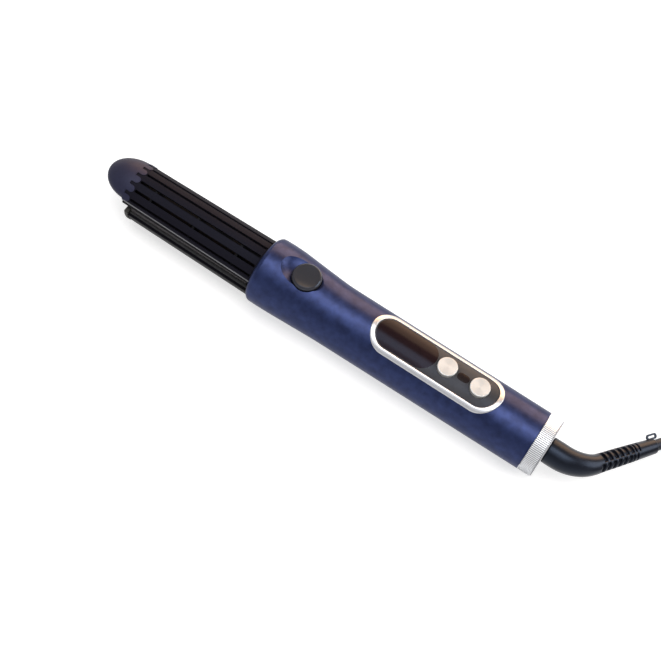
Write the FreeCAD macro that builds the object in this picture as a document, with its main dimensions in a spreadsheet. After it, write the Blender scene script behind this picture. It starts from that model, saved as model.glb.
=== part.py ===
import FreeCAD
import Part
import math
import os
import re

V = FreeCAD.Vector

# Driving sizes in millimetres; names that end in degrees, count, turns or share are not lengths
SIZES = {
    # Whole body: the axis lies along X, nose to -X, panel up
    "collar_front_x": -44.1,
    "running_gap": 0.3,
    "slide_gap": 0.3,
    "snug": 0.05,
    "overrun": 2.0,
    # Barrel: two shells round one tapered axis
    "barrel_length": 96.9,
    "barrel_front_radius": 17.9,
    "barrel_rear_radius": 18.9,
    "barrel_wall": 1.8,
    "barrel_insert": 10.0,
    "upper_edge_height": 4.8,
    "lower_edge_drop": 1.0,
    "lip_round": 3.2,
    "channel_width": 1.9,
    "channel_front_margin": 5.4,
    "channel_rear_margin": 1.2,
    "channel_pitch_degrees": 21.2,
    "channel_count": 6,
    # Nose cap and lower tip
    "nose_length": 25.0,
    "nose_wall": 2.2,
    "nose_round": 4.4,
    "finger_length": 5.0,
    "finger_width": 4.4,
    "finger_proud": 0.4,
    "tip_length": 6.2,
    "tip_back": 2.8,
    "tip_proud": 0.35,
    "tip_round": 1.8,
    # Plates, heaters and their trays
    "plate_plane": 1.9,
    "plate_gap": 0.3,
    "plate_width": 30.0,
    "plate_thickness": 2.5,
    "plate_round": 0.8,
    "plate_front_margin": 6.6,
    "plate_rear_margin": 2.6,
    "heater_width": 16.0,
    "heater_thickness": 1.8,
    "heater_length": 70.0,
    "tray_floor": 2.0,
    "tray_rib": 1.6,
    "tray_air_radius": 3.4,
    "tray_rib_count": 3,
    "root_side_gap": 1.0,
    "root_thickness": 3.5,
    "root_start_back": 16.0,
    "fuse_radius": 2.2,
    "fuse_length": 12.0,
    # Handle shell with its swollen head
    "handle_front_radius": 20.0,
    "handle_taper": 0.6,
    "handle_wall": 2.2,
    "head_length": 54.6,
    "head_swell": 2.2,
    "collar_room": 3.0,
    "collar_step": 1.1,
    "shoulder_round": 3.4,
    "collar_wall": 4.5,
    # Clamp button in its dish
    "button_back": 29.8,
    "button_radius": 9.4,
    "crown_share": 0.6,
    "button_proud": 1.0,
    "button_round": 2.2,
    "button_hollow": 0.7,
    "button_flange": 1.4,
    "button_flange_lip": 1.3,
    "button_skirt": 8.74,
    "dish_length": 36.8,
    "dish_width": 28.6,
    "dish_depth": 9.0,
    "dish_rise": 5.3,
    "dish_ahead": 0.9,
    "dish_wall": 2.0,
    "stem_radius": 3.0,
    # Hinge and lever of the clamp arm
    "hinge_behind_head": 6.0,
    "eye_below_top": 2.0,
    "pin_radius": 1.75,
    "pin_length": 18.4,
    "pin_play": 0.05,
    "eye_radius": 3.6,
    "eye_width": 11.2,
    "eye_gap_width": 6.2,
    "lever_width": 15.0,
    "lever_rise": 11.0,
    "lever_thickness": 5.0,
    "lever_front_run": 34.0,
    "lever_neck_ahead": 16.6,
    "keel_front": 3.8,
    "keel_ahead_hinge": 17.8,
    "keel_rise": 1.8,
    "slot_end_room": 2.2,
    "shell_rear_gap": 0.6,
    "spring_wire": 0.8,
    "spring_radius": 2.6,
    "spring_pitch": 1.0,
    "spring_turns": 4,
    "spring_leg": 9.0,
    # Chassis inside the handle
    "cradle_wall": 1.6,
    "cradle_edge_drop": 4.0,
    "cradle_ahead_hinge": 5.2,
    "bulkhead": 2.0,
    "bulkhead_air_radius": 5.4,
    "ear_thickness": 3.0,
    "ear_length": 9.0,
    "ear_above_pin": 4.4,
    "post_width": 3.0,
    "post_length": 6.0,
    "screw_radius": 1.25,
    "screw_head_radius": 2.2,
    "screw_head": 1.4,
    "screw_length": 8.0,
    # Control panel
    "panel_behind_hinge": 17.5,
    "panel_length": 90.0,
    "panel_width": 27.2,
    "bezel_band": 3.0,
    "bezel_proud": 0.7,
    "bezel_depth": 2.2,
    "lens_sink": 0.2,
    "lens_thickness": 2.0,
    "window_gap": 1.25,
    "window_thickness": 1.0,
    "window_margin": 0.8,
    "key_radius": 6.25,
    "key_proud": 1.65,
    "key_round": 0.5,
    "key_end": 15.5,
    "key_spacing": 22.6,
    "key_height": 6.65,
    "key_flange": 1.0,
    "key_flange_lip": 0.8,
    "key_travel": 0.6,
    "indicator_length": 8.0,
    "indicator_width": 5.0,
    "indicator_depth": 3.0,
    "board_sink": 10.0,
    "board_thickness": 1.6,
    "board_side_gap": 0.2,
    "switch_side": 6.0,
    "switch_height": 1.5,
    "switch_plunger_radius": 1.6,
    "display_height": 3.0,
    "display_width": 16.0,
    "display_margin": 3.0,
    "power_board_drop": 6.0,
    "power_board_side_gap": 1.3,
    "capacitor_radius": 5.0,
    "capacitor_length": 18.0,
    "coil_block_side": 14.0,
    "coil_block_height": 9.0,
    "part_spacing": 12.0,
    # Fan
    "fan_wall": 1.2,
    "fan_length": 17.0,
    "fan_gap": 0.4,
    "fan_ring": 2.0,
    "motor_radius": 9.5,
    "motor_length": 12.0,
    "shaft_radius": 1.0,
    "impeller_gap": 1.35,
    "impeller_hub_radius": 5.0,
    "impeller_length": 5.6,
    "blade_thickness": 0.9,
    "blade_count": 7,
    "blade_pitch_degrees": 38.0,
    # Tail
    "ring_length": 9.1,
    "ring_gap": 0.3,
    "rib_count": 104,
    "rib_depth": 0.45,
    "rib_share": 0.62,
    "ring_wall": 2.4,
    "cap_spigot_wall": 1.4,
    "cap_spigot_length": 7.0,
    "cap_disc": 2.0,
    "cap_edge_inset": 0.45,
    "cap_lip": 0.6,
    "intake_hole_radius": 1.5,
    "intake_circle_radius": 12.4,
    "intake_hole_count": 12,
    "filter_thickness": 1.5,
    "neck_radius": 6.8,
    "neck_play": 0.1,
    "neck_boss_wall": 1.6,
    "neck_boss_length": 4.0,
    "neck_flange": 1.6,
    "neck_flange_lip": 1.8,
    # Strain relief boot
    "boot_base_radius": 8.5,
    "boot_bend_radius": 7.5,
    "boot_waist_radius": 6.0,
    "boot_slot_end_radius": 5.4,
    "boot_end_radius": 4.8,
    "boot_straight": 8.0,
    "boot_curve_radius": 25.0,
    "boot_turn_degrees": 58.0,
    "boot_run": 45.0,
    "boot_fall_degrees": 15.8,
    "slot_count": 6,
    "slot_pitch": 4.3,
    "slot_width": 2.5,
    "slot_start": 0.6,
    "slot_spine": 0.3,
    "slot_roll_degrees": 19.0,
    "loop_length": 8.0,
    "loop_width": 3.6,
    "loop_wire": 1.1,
    "loop_sink": 0.7,
    "loop_past": 4.0,
    "loop_roll_degrees": 26.0,
    # Cord, coil, tie and plug
    "cord_radius": 3.6,
    "lead_first_run": 9.0,
    "coil_mean_radius": 39.0,
    "coil_pitch": 7.9,
    "coil_layer_turns": 2.5,
    "tie_thickness": 0.8,
    "tie_gap": 0.3,
    "tie_width": 12.0,
    "plug_length": 36.0,
    "plug_width": 35.0,
    "plug_neck_width": 13.0,
    "plug_thickness": 13.6,
    "plug_round": 3.0,
    "plug_lift": 1.6,
    "plug_back_degrees": 2.2,
    "plug_pin_radius": 2.0,
    "plug_pin_length": 19.0,
    "plug_pin_spacing": 19.0,
}

# Sizes that follow from the driving sizes: the handle's compartments stand one behind the other
RULES = {
    "axis_height": "handle_front_radius",
    "handle_rear_radius": "handle_front_radius - handle_taper",
    "hinge_back": "head_length + hinge_behind_head",
    "panel_back": "hinge_back + panel_behind_hinge",
    "handle_length": "panel_back + panel_length + 1.5 * bulkhead + fan_length + fan_gap + cap_spigot_length",
    "cradle_start_back": "hinge_back - cradle_ahead_hinge",
    "head_rise": "max(head_swell; barrel_rear_radius + collar_room - handle_front_radius)",
    "crown_height": "handle_front_radius + 2 * head_rise * crown_share",
    "button_top": "crown_height + button_proud",
    "dish_height": "crown_height + dish_rise",
    "lever_top_drop": "min(handle_front_radius; barrel_rear_radius + collar_step) - lever_rise",
    "hinge_drop": "lever_top_drop + eye_below_top",
    "ear_top_drop": "hinge_drop - ear_above_pin",
    "keel_length": "hinge_back - keel_front - keel_ahead_hinge",
    "keel_drop": "handle_front_radius - keel_rise",
    "root_low": "plate_plane + plate_thickness + heater_thickness",
    "root_room": "min(barrel_rear_radius - barrel_wall; handle_rear_radius - handle_wall) - snug",
    "root_width": "2 * sqrt(root_room ^ 2 - (root_low + root_thickness) ^ 2) - 2 * root_side_gap",
    "key_from_end": "panel_length - key_spacing - key_end",
    "window_length": "key_from_end - key_radius - window_gap - bezel_band - window_margin",
    "board_height": "handle_front_radius - board_sink",
    "bore_radius": "handle_rear_radius - handle_wall",
    "board_width": "2 * sqrt(bore_radius ^ 2 - (board_height + board_thickness) ^ 2) - 2 * board_side_gap",
    "cradle_radius": "bore_radius - snug - cradle_wall",
    "power_board_width": "2 * sqrt(cradle_radius ^ 2 - power_board_drop ^ 2) - 2 * power_board_side_gap",
    "impeller_radius": "bore_radius - snug - fan_wall - impeller_gap",
}

# Swell of the head along its length: place from the collar's front, and how much of the full swell is there
HEAD_SHARES = (
    (0.0, 0.93), (0.09, 0.98), (0.2, 1.0), (0.36, 0.87), (0.52, 0.63), (0.69, 0.37), (0.85, 0.14), (1.0, 0.0),
)

# Place of the thermal fuse along the barrel
FUSE_SHARE = 0.6

# Lie of the lead to the coil: steps along X and Y from the boot's end, and heights above the standing surface
LEAD_ROUTE = (
    (15.6, 21.4, 4.2),
    (30.6, 32.4, 4.2),
    (48.4, 40.4, 4.4),
    (67.2, 44.8, 4.7),
)

doc = FreeCAD.newDocument("hair_straightener")
sheet = doc.addObject("Spreadsheet::Sheet", "Sizes")
entries = [(name, str(number)) for name, number in SIZES.items()]
entries += [(name, "=" + rule) for name, rule in RULES.items()]
for row, (name, content) in enumerate(entries, start=1):
    sheet.set(f"A{row}", name)
    sheet.set(f"B{row}", content)
    sheet.setAlias(f"B{row}", name)
doc.recompute()

# Stations along the body as expressions
COLLAR = "collar_front_x"
NOSE = "(collar_front_x - barrel_length)"
TAIL = "(collar_front_x + handle_length)"
REAR = "(collar_front_x + handle_length + ring_length)"
BLEND = "(collar_front_x + head_length)"
BUTTON_X = "(collar_front_x + button_back)"
HINGE_X = "(collar_front_x + hinge_back)"
HINGE_Z = "(axis_height - hinge_drop)"
PANEL_X = "(collar_front_x + panel_back)"
PANEL_END = "(collar_front_x + panel_back + panel_length)"
KEY_ONE_BACK = "(panel_back + key_from_end)"
KEY_TWO_BACK = "(panel_back + key_from_end + key_spacing)"
LIGHT_X = "(collar_front_x + panel_back + key_from_end + key_spacing / 2)"
PLATE_TOP = "(axis_height + plate_plane + plate_thickness)"
ROOT_Z = "(axis_height + plate_plane + plate_thickness + heater_thickness)"
LOWER_FACE = "(axis_height + plate_plane - plate_gap)"
LOWER_SEAT = "(axis_height + plate_plane - plate_gap - plate_thickness)"
LOWER_FLOOR = "(axis_height + plate_plane - plate_gap - plate_thickness - heater_thickness)"
BULKHEAD_ONE = "(collar_front_x + panel_back - 2 * bulkhead)"
BULKHEAD_TWO = "(collar_front_x + panel_back + panel_length + bulkhead / 2)"
FAN_X = "(collar_front_x + panel_back + panel_length + 1.5 * bulkhead)"
BOARD_TOP = "(axis_height + board_height + board_thickness)"

ALONG_X = FreeCAD.Rotation(V(0, 1, 0), 90)
ALONG_Y = FreeCAD.Rotation(V(1, 0, 0), -90)
UPRIGHT = FreeCAD.Rotation()
nodes = []


def size(name):
    """Read one size from the sheet."""
    return float(sheet.get(name))


def linked(text):
    """Write an expression with each size's name pointing to its cell."""
    known = {**SIZES, **RULES}
    return re.sub(r"[a-z_]+", lambda word: "Sizes." + word[0] if word[0] in known else word[0], text)


def tie(piece, prop, text):
    """Bind one property of a piece to an expression in the driving sizes."""
    piece.setExpression(prop, linked(text))


def put(kind, name, at, turn=UPRIGHT, **sizes):
    """Add a primitive whose sizes and place follow the sheet."""
    piece = doc.addObject("Part::" + kind, name)
    piece.Placement = FreeCAD.Placement(V(0, 0, 0), turn)
    for prop, text in sizes.items():
        tie(piece, prop, text)
    for letter, text in zip("xyz", at):
        tie(piece, "Placement.Base." + letter, text)
    return piece


def bar(name, start, length, width, low, height):
    """A block along X, centred on the middle plane."""
    return put("Box", name, (start, f"-({width}) / 2", low), Length=length, Width=width, Height=height)


def rod(name, start, radius, length, height="axis_height", across="0"):
    """A round bar along X."""
    return put("Cylinder", name, (start, across, height), ALONG_X, Radius=radius, Height=length)


def stud(name, x, low, radius, length, across="0"):
    """A round bar standing up."""
    return put("Cylinder", name, (x, across, low), Radius=radius, Height=length)


def taper(name, start, front, rear, length):
    """A cone along X on the body's axis."""
    return put("Cone", name, (start, "0", "axis_height"), ALONG_X, Radius1=front, Radius2=rear, Height=length)


def egg(name, x, reach, radius):
    """An ellipsoid round the body's axis: half an ellipse in a sketch, turned round that axis."""
    sketch = doc.addObject("Sketcher::SketchObject", name + "_profile")
    whole = Part.Ellipse(V(0, 0, 0), reach, radius)
    sketch.addGeometry(Part.ArcOfEllipse(whole, 0, math.pi), False)
    sketch.addGeometry(Part.LineSegment(V(-reach, 0, 0), V(reach, 0, 0)), False)
    solid = doc.addObject("Part::Revolution", name)
    solid.Source = sketch
    solid.Axis = V(1, 0, 0)
    solid.Angle = 360
    solid.Solid = True
    for letter, text in (("x", x), ("z", "axis_height")):
        tie(sketch, "Placement.Base." + letter, text)
        tie(solid, "Base." + letter, text)
    return solid


def fuse(name, *pieces):
    """Join overlapping solids into one."""
    joined = doc.addObject("Part::MultiFuse", name)
    joined.Shapes = list(pieces)
    return joined


def common(name, *pieces):
    """Keep what two solids share."""
    shared = doc.addObject("Part::MultiCommon", name)
    shared.Shapes = list(pieces)
    return shared


def cut(name, base, *tools):
    """Take tools away from a solid."""
    left = doc.addObject("Part::Cut", name)
    left.Base = base
    left.Tool = tools[0] if len(tools) == 1 else fuse(name + "_tools", *tools)
    return left


def rounded(name, base, radius, wanted):
    """Round the edges that a test picks."""
    doc.recompute()
    soft = doc.addObject("Part::Fillet", name)
    soft.Base = base
    picked = [i for i, edge in enumerate(base.Shape.Edges, start=1) if wanted(edge)]
    soft.Edges = [(i, radius, radius) for i in picked]
    return soft


def made(name, shape):
    """Hold a shape that code worked out from the sheet."""
    piece = doc.addObject("Part::Feature", name)
    piece.Shape = shape
    return piece


def node(label, piece):
    """Name a finished sub-part; its label names its file."""
    piece.Label = label
    nodes.append(piece)
    return piece


def spoke(name, start, length, width, height, degrees):
    """A block that runs outward from the body's axis, turned round it from straight up."""
    turn = FreeCAD.Rotation(V(1, 0, 0), degrees)
    lean = math.radians(degrees)
    at = (start, f"-({width}) / 2 * {math.cos(lean):.9f}",
          f"axis_height - ({width}) / 2 * {math.sin(lean):.9f}")
    return put("Box", name, at, turn, Length=length, Width=width, Height=height)


def stadium(name, start, length, width, low, height):
    """An upright slab with round ends, long along X."""
    middle = bar(name + "_middle", f"{start} + ({width}) / 2", f"({length}) - ({width})", width, low, height)
    front = stud(name + "_front", f"{start} + ({width}) / 2", low, f"({width}) / 2", height)
    rear = stud(name + "_rear", f"{start} + ({length}) - ({width}) / 2", low, f"({width}) / 2", height)
    return fuse(name, middle, front, rear)


def handle_cone(name, offset):
    """The handle's tapered outside, moved outward by an offset."""
    front = f"handle_front_radius + ({offset})"
    rear = f"handle_rear_radius + ({offset})"
    return taper(name, BLEND, front, rear, "handle_length - head_length")


def head_loft(name, offset):
    """The swollen head as a loft through circles whose lowest points lie in one line."""
    rings = []
    for i, (place_share, swell_share) in enumerate(HEAD_SHARES):
        at = (f"{COLLAR} + head_length * {place_share}", "0", f"axis_height + head_rise * {swell_share}")
        radius = f"handle_front_radius + head_rise * {swell_share} + ({offset})"
        rings.append(put("Circle", f"{name}_ring_{i}", at, ALONG_X, Radius=radius))
    loft = doc.addObject("Part::Loft", name)
    loft.Sections = rings
    loft.Solid = True
    loft.Ruled = False
    return loft


def channel_degrees():
    """Angles of the barrel's air channels from the crown."""
    count = int(size("channel_count"))
    pitch = size("channel_pitch_degrees")
    return [(i - (count - 1) / 2) * pitch for i in range(count)]


def bent_arc(start, corner, end):
    """The arc that leaves start towards corner and reaches end, with both legs alike."""
    middle = (start + end) * 0.5
    half = (end - start).Length / 2
    leg = (corner - start).Length
    rise = math.sqrt(max(leg * leg - half * half, 0.0))
    if rise < leg / 10000:
        return Part.LineSegment(start, end).toShape()
    radius = leg * half / rise
    sag = radius - math.sqrt(radius * radius - half * half)
    return Part.Arc(start, middle + (corner - middle) * (sag / rise), end).toShape()


def biarc(start, start_way, end, end_way):
    """Two tangent arcs between two points with given directions."""
    span = end - start
    ways = start_way + end_way
    spread = 2 * (1 - start_way.dot(end_way))
    along = span.dot(ways)
    reach = span.dot(span) / (2 * along)
    if spread > 1e-9:
        reach = (math.sqrt(along * along + spread * span.dot(span)) - along) / spread
    first = start + start_way * reach
    last = end - end_way * reach
    joint = (first + last) * 0.5
    return [bent_arc(start, first, joint), bent_arc(joint, last, end)]


def swept(path, radius):
    """A round tube along a wire."""
    edge = path.Edges[0]
    start = edge.valueAt(edge.FirstParameter)
    way = edge.tangentAt(edge.FirstParameter)
    ring = Part.Wire([Part.makeCircle(radius, start, way)])
    return path.makePipeShell([ring], True, False)


def route_wire(points):
    """Straight runs joined by tangent arcs as large as the runs allow; returns the wire and the radii."""
    edges = []
    radii = []
    last = points[0]
    for before, here, after in zip(points, points[1:], points[2:]):
        shorter = min((here - before).Length, (after - here).Length)
        way_in = (here - before).normalize()
        way_out = (after - here).normalize()
        turn = way_in.getAngle(way_out)
        leg = 0.45 * shorter
        radii.append(leg / math.tan(turn / 2))
        start = here - way_in * leg
        end = here + way_out * leg
        edges.append(Part.LineSegment(last, start).toShape())
        edges.append(bent_arc(start, here, end))
        last = end
    edges.append(Part.LineSegment(last, points[-1]).toShape())
    return Part.Wire(edges), radii


# Barrel blanks shared by both arms
def barrel_blank(name, offset):
    """The barrel's full round outside, moved outward by an offset and run on into the collar."""
    front = f"barrel_front_radius + ({offset})"
    rear = f"barrel_rear_radius + ({offset})"
    cone = taper(name + "_cone", NOSE, front, rear, "barrel_length")
    run_on = rod(name + "_insert", COLLAR, rear, "barrel_insert")
    return fuse(name, cone, run_on)


barrel_outside = barrel_blank("barrel_outside", "0")
barrel_inside = barrel_blank("barrel_inside", "-barrel_wall")
barrel_core = barrel_blank("barrel_core", "-barrel_wall - snug")


def upper_shell():
    """Fixed half of the barrel with its long air channels."""
    above = bar("upper_shell_keep", f"{NOSE} - overrun", "barrel_length + barrel_insert + 2 * overrun",
                "4 * barrel_rear_radius", "axis_height + upper_edge_height", "2 * barrel_rear_radius")
    slots = [
        spoke(f"upper_channel_{i}", f"{NOSE} + channel_front_margin",
              "barrel_length - channel_front_margin - channel_rear_margin", "channel_width",
              "barrel_rear_radius + overrun", degrees)
        for i, degrees in enumerate(channel_degrees())
    ]
    half = common("upper_shell_half", barrel_outside, above)
    low = size("axis_height") + size("upper_edge_height") + size("snug")
    reach = size("barrel_length") / 2
    soft = rounded("upper_shell_soft", half, size("lip_round"),
                   lambda edge: edge.BoundBox.ZMax < low and edge.BoundBox.XLength > reach)
    node("upper_shell", cut("upper_shell", soft, barrel_inside, *slots))


def nose_cap():
    """Domed cap of the fixed arm, flat below, with fingers that lie over the barrel's channels."""
    reach = "barrel_front_radius + finger_proud"
    outer_radius = size("barrel_front_radius") + size("finger_proud")
    wall = size("nose_wall")
    outside = egg("nose_egg", NOSE, size("nose_length"), outer_radius)
    above = bar("nose_above", f"{NOSE} - 2 * nose_length", "4 * nose_length", "4 * barrel_rear_radius",
                "axis_height + upper_edge_height", "2 * barrel_rear_radius")
    limit = size("axis_height") + size("upper_edge_height") + size("snug")
    soft = rounded("nose_soft", common("nose_upper", outside, above), size("nose_round"),
                   lambda edge: edge.BoundBox.ZMax < limit)
    ahead = bar("nose_ahead", f"{NOSE} - 2 * nose_length", "2 * nose_length", "4 * barrel_rear_radius",
                "axis_height", "2 * barrel_rear_radius")
    front = common("nose_front", soft, ahead)
    hollow = egg("nose_hollow", NOSE, size("nose_length") - wall, outer_radius - wall)
    roof = bar("nose_hollow_keep", f"{NOSE} - nose_length", "nose_length", "4 * barrel_rear_radius",
               "axis_height + upper_edge_height + nose_wall + nose_round", "2 * barrel_rear_radius")
    hollow_half = common("nose_hollow_half", hollow, roof)
    ring = rod("finger_ring", f"{NOSE} - snug", reach, "finger_length + snug")
    lean = "(barrel_rear_radius - barrel_front_radius) / barrel_length"
    bore = taper("finger_bore", f"{NOSE} - overrun", f"barrel_front_radius + snug - {lean} * overrun",
                 f"barrel_front_radius + snug + {lean} * finger_length", "overrun + finger_length")
    fingers = []
    for i, degrees in enumerate(channel_degrees()):
        fingers.append(spoke(f"finger_{i}", f"{NOSE} - snug", "finger_length + snug - finger_width / 2",
                             "finger_width", "2 * barrel_rear_radius", degrees))
        fingers.append(put("Cylinder", f"finger_tip_{i}",
                           (f"{NOSE} + finger_length - finger_width / 2", "0", "axis_height"),
                           FreeCAD.Rotation(V(1, 0, 0), degrees), Radius="finger_width / 2",
                           Height="2 * barrel_rear_radius"))
    teeth = common("finger_teeth", cut("finger_band", ring, bore), fuse("finger_spokes", *fingers))
    node("nose_cap", cut("nose_cap", fuse("nose_whole", front, teeth), hollow_half))


def upper_tray():
    """Carrier of the upper plate and heater, with air bulkheads and a root that runs back into the head."""
    start = f"{NOSE} + snug"
    floor = bar("upper_tray_floor", start, "barrel_length - snug", "4 * barrel_rear_radius", PLATE_TOP,
                "heater_thickness + tray_floor")
    ribs = []
    count = int(size("tray_rib_count"))
    for i in range(count):
        place_share = (i + 0.5) / count
        ribs.append(bar(f"upper_rib_{i}", f"{NOSE} + barrel_length * {place_share}", "tray_rib",
                        "4 * barrel_rear_radius", ROOT_Z, "2 * barrel_rear_radius"))
    fitted = common("upper_tray_fitted", fuse("upper_tray_blank", floor, *ribs), barrel_core)
    root = bar("upper_root", f"{COLLAR} - root_start_back", "root_start_back + hinge_back + post_length / 2",
               "root_width", ROOT_Z, "root_thickness")
    whole = fuse("upper_tray_whole", fitted, root)
    pocket = bar("upper_heater_pocket", f"{NOSE} + plate_front_margin", "heater_length + 2 * snug",
                 "heater_width + 2 * snug", f"{PLATE_TOP} - overrun", "heater_thickness + overrun")
    air = rod("upper_air", f"{NOSE} - overrun", "tray_air_radius", "barrel_length + overrun",
              f"{ROOT_Z} + tray_floor + tray_air_radius + snug")
    stem_hole = stud("upper_stem_hole", BUTTON_X, f"{ROOT_Z} - overrun", "stem_radius + slide_gap",
                     "root_thickness + 2 * overrun")
    seats = [
        stud(f"root_screw_hole_{side}", HINGE_X, f"{ROOT_Z} - overrun", "screw_radius + snug",
             "root_thickness + 2 * overrun", f"{side} * (root_width / 2 - post_width / 2)")
        for side in (-1, 1)
    ]
    node("upper_tray", cut("upper_tray", whole, pocket, air, stem_hole, *seats))


def plate(label, low):
    """A flat hot plate with softened long edges."""
    blank = bar(label + "_blank", f"{NOSE} + plate_front_margin",
                "barrel_length - plate_front_margin - plate_rear_margin", "plate_width", low,
                "plate_thickness")
    reach = size("barrel_length") / 2
    node(label, rounded(label, blank, size("plate_round"), lambda edge: edge.Length > reach))


def heater(label, low):
    """A flat heating strip on the back of a plate."""
    node(label, bar(label, f"{NOSE} + plate_front_margin + snug", "heater_length", "heater_width", low,
                    "heater_thickness"))


def thermal_fuse():
    """Round thermal fuse on the tray's floor above the heater."""
    node("thermal_fuse", rod("thermal_fuse", f"{NOSE} + barrel_length * {FUSE_SHARE}", "fuse_radius",
                             "fuse_length", f"{ROOT_Z} + tray_floor + fuse_radius", "2 * tray_air_radius"))


def lower_shell():
    """Moving half of the barrel with the same channels below."""
    below = bar("lower_shell_keep", f"{NOSE} + tip_length", "barrel_length - tip_length - shell_rear_gap",
                "4 * barrel_rear_radius", "axis_height - lower_edge_drop - 2 * barrel_rear_radius",
                "2 * barrel_rear_radius")
    slots = [
        spoke(f"lower_channel_{i}", f"{NOSE} + tip_length + channel_front_margin",
              "barrel_length - tip_length - 2 * channel_front_margin", "channel_width",
              "barrel_rear_radius + overrun", 180 + degrees)
        for i, degrees in enumerate(channel_degrees())
    ]
    half = common("lower_shell_half", barrel_outside, below)
    node("lower_shell", cut("lower_shell", half, barrel_inside, *slots))


def tip_cap():
    """Rounded end of the clamp arm, a little proud of its shell."""
    blank = barrel_blank("tip_blank", "tip_proud")
    keep = bar("tip_keep", f"{NOSE} + tip_back", "tip_length - tip_back", "4 * barrel_rear_radius",
               "axis_height - 2 * barrel_rear_radius", "2 * barrel_rear_radius + plate_plane - plate_gap")
    front = size("collar_front_x") - size("barrel_length") + size("tip_back")
    limit = size("snug") / 2
    node("tip_cap", rounded("tip_cap", common("tip_half", blank, keep), size("tip_round"), lambda edge: all(
        abs(v.Point.x - front) < limit for v in edge.Vertexes) and abs(edge.CenterOfMass.x - front) < limit))


def clamp_lever():
    """Spine of the clamp arm: heater tray in front, keel through the head's belly, hinge eyes behind."""
    floor = bar("lower_tray_floor", f"{NOSE} + tip_length", "barrel_length - tip_length - shell_rear_gap",
                "4 * barrel_rear_radius", f"{LOWER_FLOOR} - tray_floor", "heater_thickness + tray_floor")
    tray = common("lower_tray", floor, barrel_core)
    top = "axis_height - lever_top_drop"
    low = "axis_height - lever_top_drop - lever_thickness"
    spine = bar("lever_spine", f"{COLLAR} - lever_front_run",
                "lever_front_run + hinge_back - lever_neck_ahead", "lever_width", low, "lever_thickness")
    neck = bar("lever_neck", f"{HINGE_X} - lever_neck_ahead - overrun", "lever_neck_ahead + overrun",
               "eye_width", low, "lever_thickness")
    web = bar("lever_web", f"{COLLAR} - lever_front_run", "lever_front_run - shell_rear_gap", "lever_width",
              low, f"{LOWER_FLOOR} - tray_floor / 2 - ({low})")
    keel = bar("lever_keel", f"{COLLAR} + keel_front", "keel_length", "lever_width",
               "axis_height - keel_drop", "keel_drop - lever_top_drop")
    eye = put("Cylinder", "lever_eye", (HINGE_X, "-eye_width / 2", HINGE_Z), ALONG_Y, Radius="eye_radius",
              Height="eye_width")
    whole = fuse("lever_whole", tray, spine, neck, web, keel, eye)
    pocket = bar("lower_heater_pocket", f"{NOSE} + plate_front_margin", "heater_length + 2 * snug",
                 "heater_width + 2 * snug", LOWER_FLOOR, "heater_thickness + overrun")
    bore = put("Cylinder", "lever_bore", (HINGE_X, "-eye_width", HINGE_Z), ALONG_Y,
               Radius="pin_radius + pin_play",
               Height="2 * eye_width")
    gap = bar("lever_spring_gap", f"{HINGE_X} - eye_radius - running_gap", "2 * eye_radius + overrun",
              "eye_gap_width", f"{HINGE_Z} - 2 * eye_radius", "4 * eye_radius")
    node("clamp_lever", cut("clamp_lever", whole, pocket, bore, gap))


def hinge_pin():
    """Steel pin of the clamp arm."""
    node("hinge_pin", put("Cylinder", "hinge_pin", (HINGE_X, "-pin_length / 2", HINGE_Z), ALONG_Y,
                          Radius="pin_radius", Height="pin_length"))


def clamp_spring():
    """Torsion spring round the hinge pin: a helix in quarter turns with two straight legs."""
    radius = size("spring_radius")
    pitch = size("spring_pitch")
    turns = int(size("spring_turns"))
    centre = V(size("collar_front_x") + size("hinge_back"), 0, size("axis_height") - size("hinge_drop"))
    start_y = -pitch * turns / 2
    rise = pitch / (2 * math.pi * radius)

    def place(quarter):
        angle = quarter * math.pi / 2 + math.pi / 2
        return centre + V(radius * math.cos(angle), start_y + pitch * quarter / 4, radius * math.sin(angle))

    def way(quarter):
        angle = quarter * math.pi / 2 + math.pi / 2
        return V(-math.sin(angle), rise, math.cos(angle)).normalize()

    edges = [Part.LineSegment(place(0) - way(0) * size("spring_leg"), place(0)).toShape()]
    for quarter in range(4 * turns):
        edges += biarc(place(quarter), way(quarter), place(quarter + 1), way(quarter + 1))
    last = 4 * turns
    edges.append(Part.LineSegment(place(last), place(last) + way(last) * size("spring_leg")).toShape())
    node("clamp_spring", made("clamp_spring", swept(Part.Wire(edges), size("spring_wire") / 2)))


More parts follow.
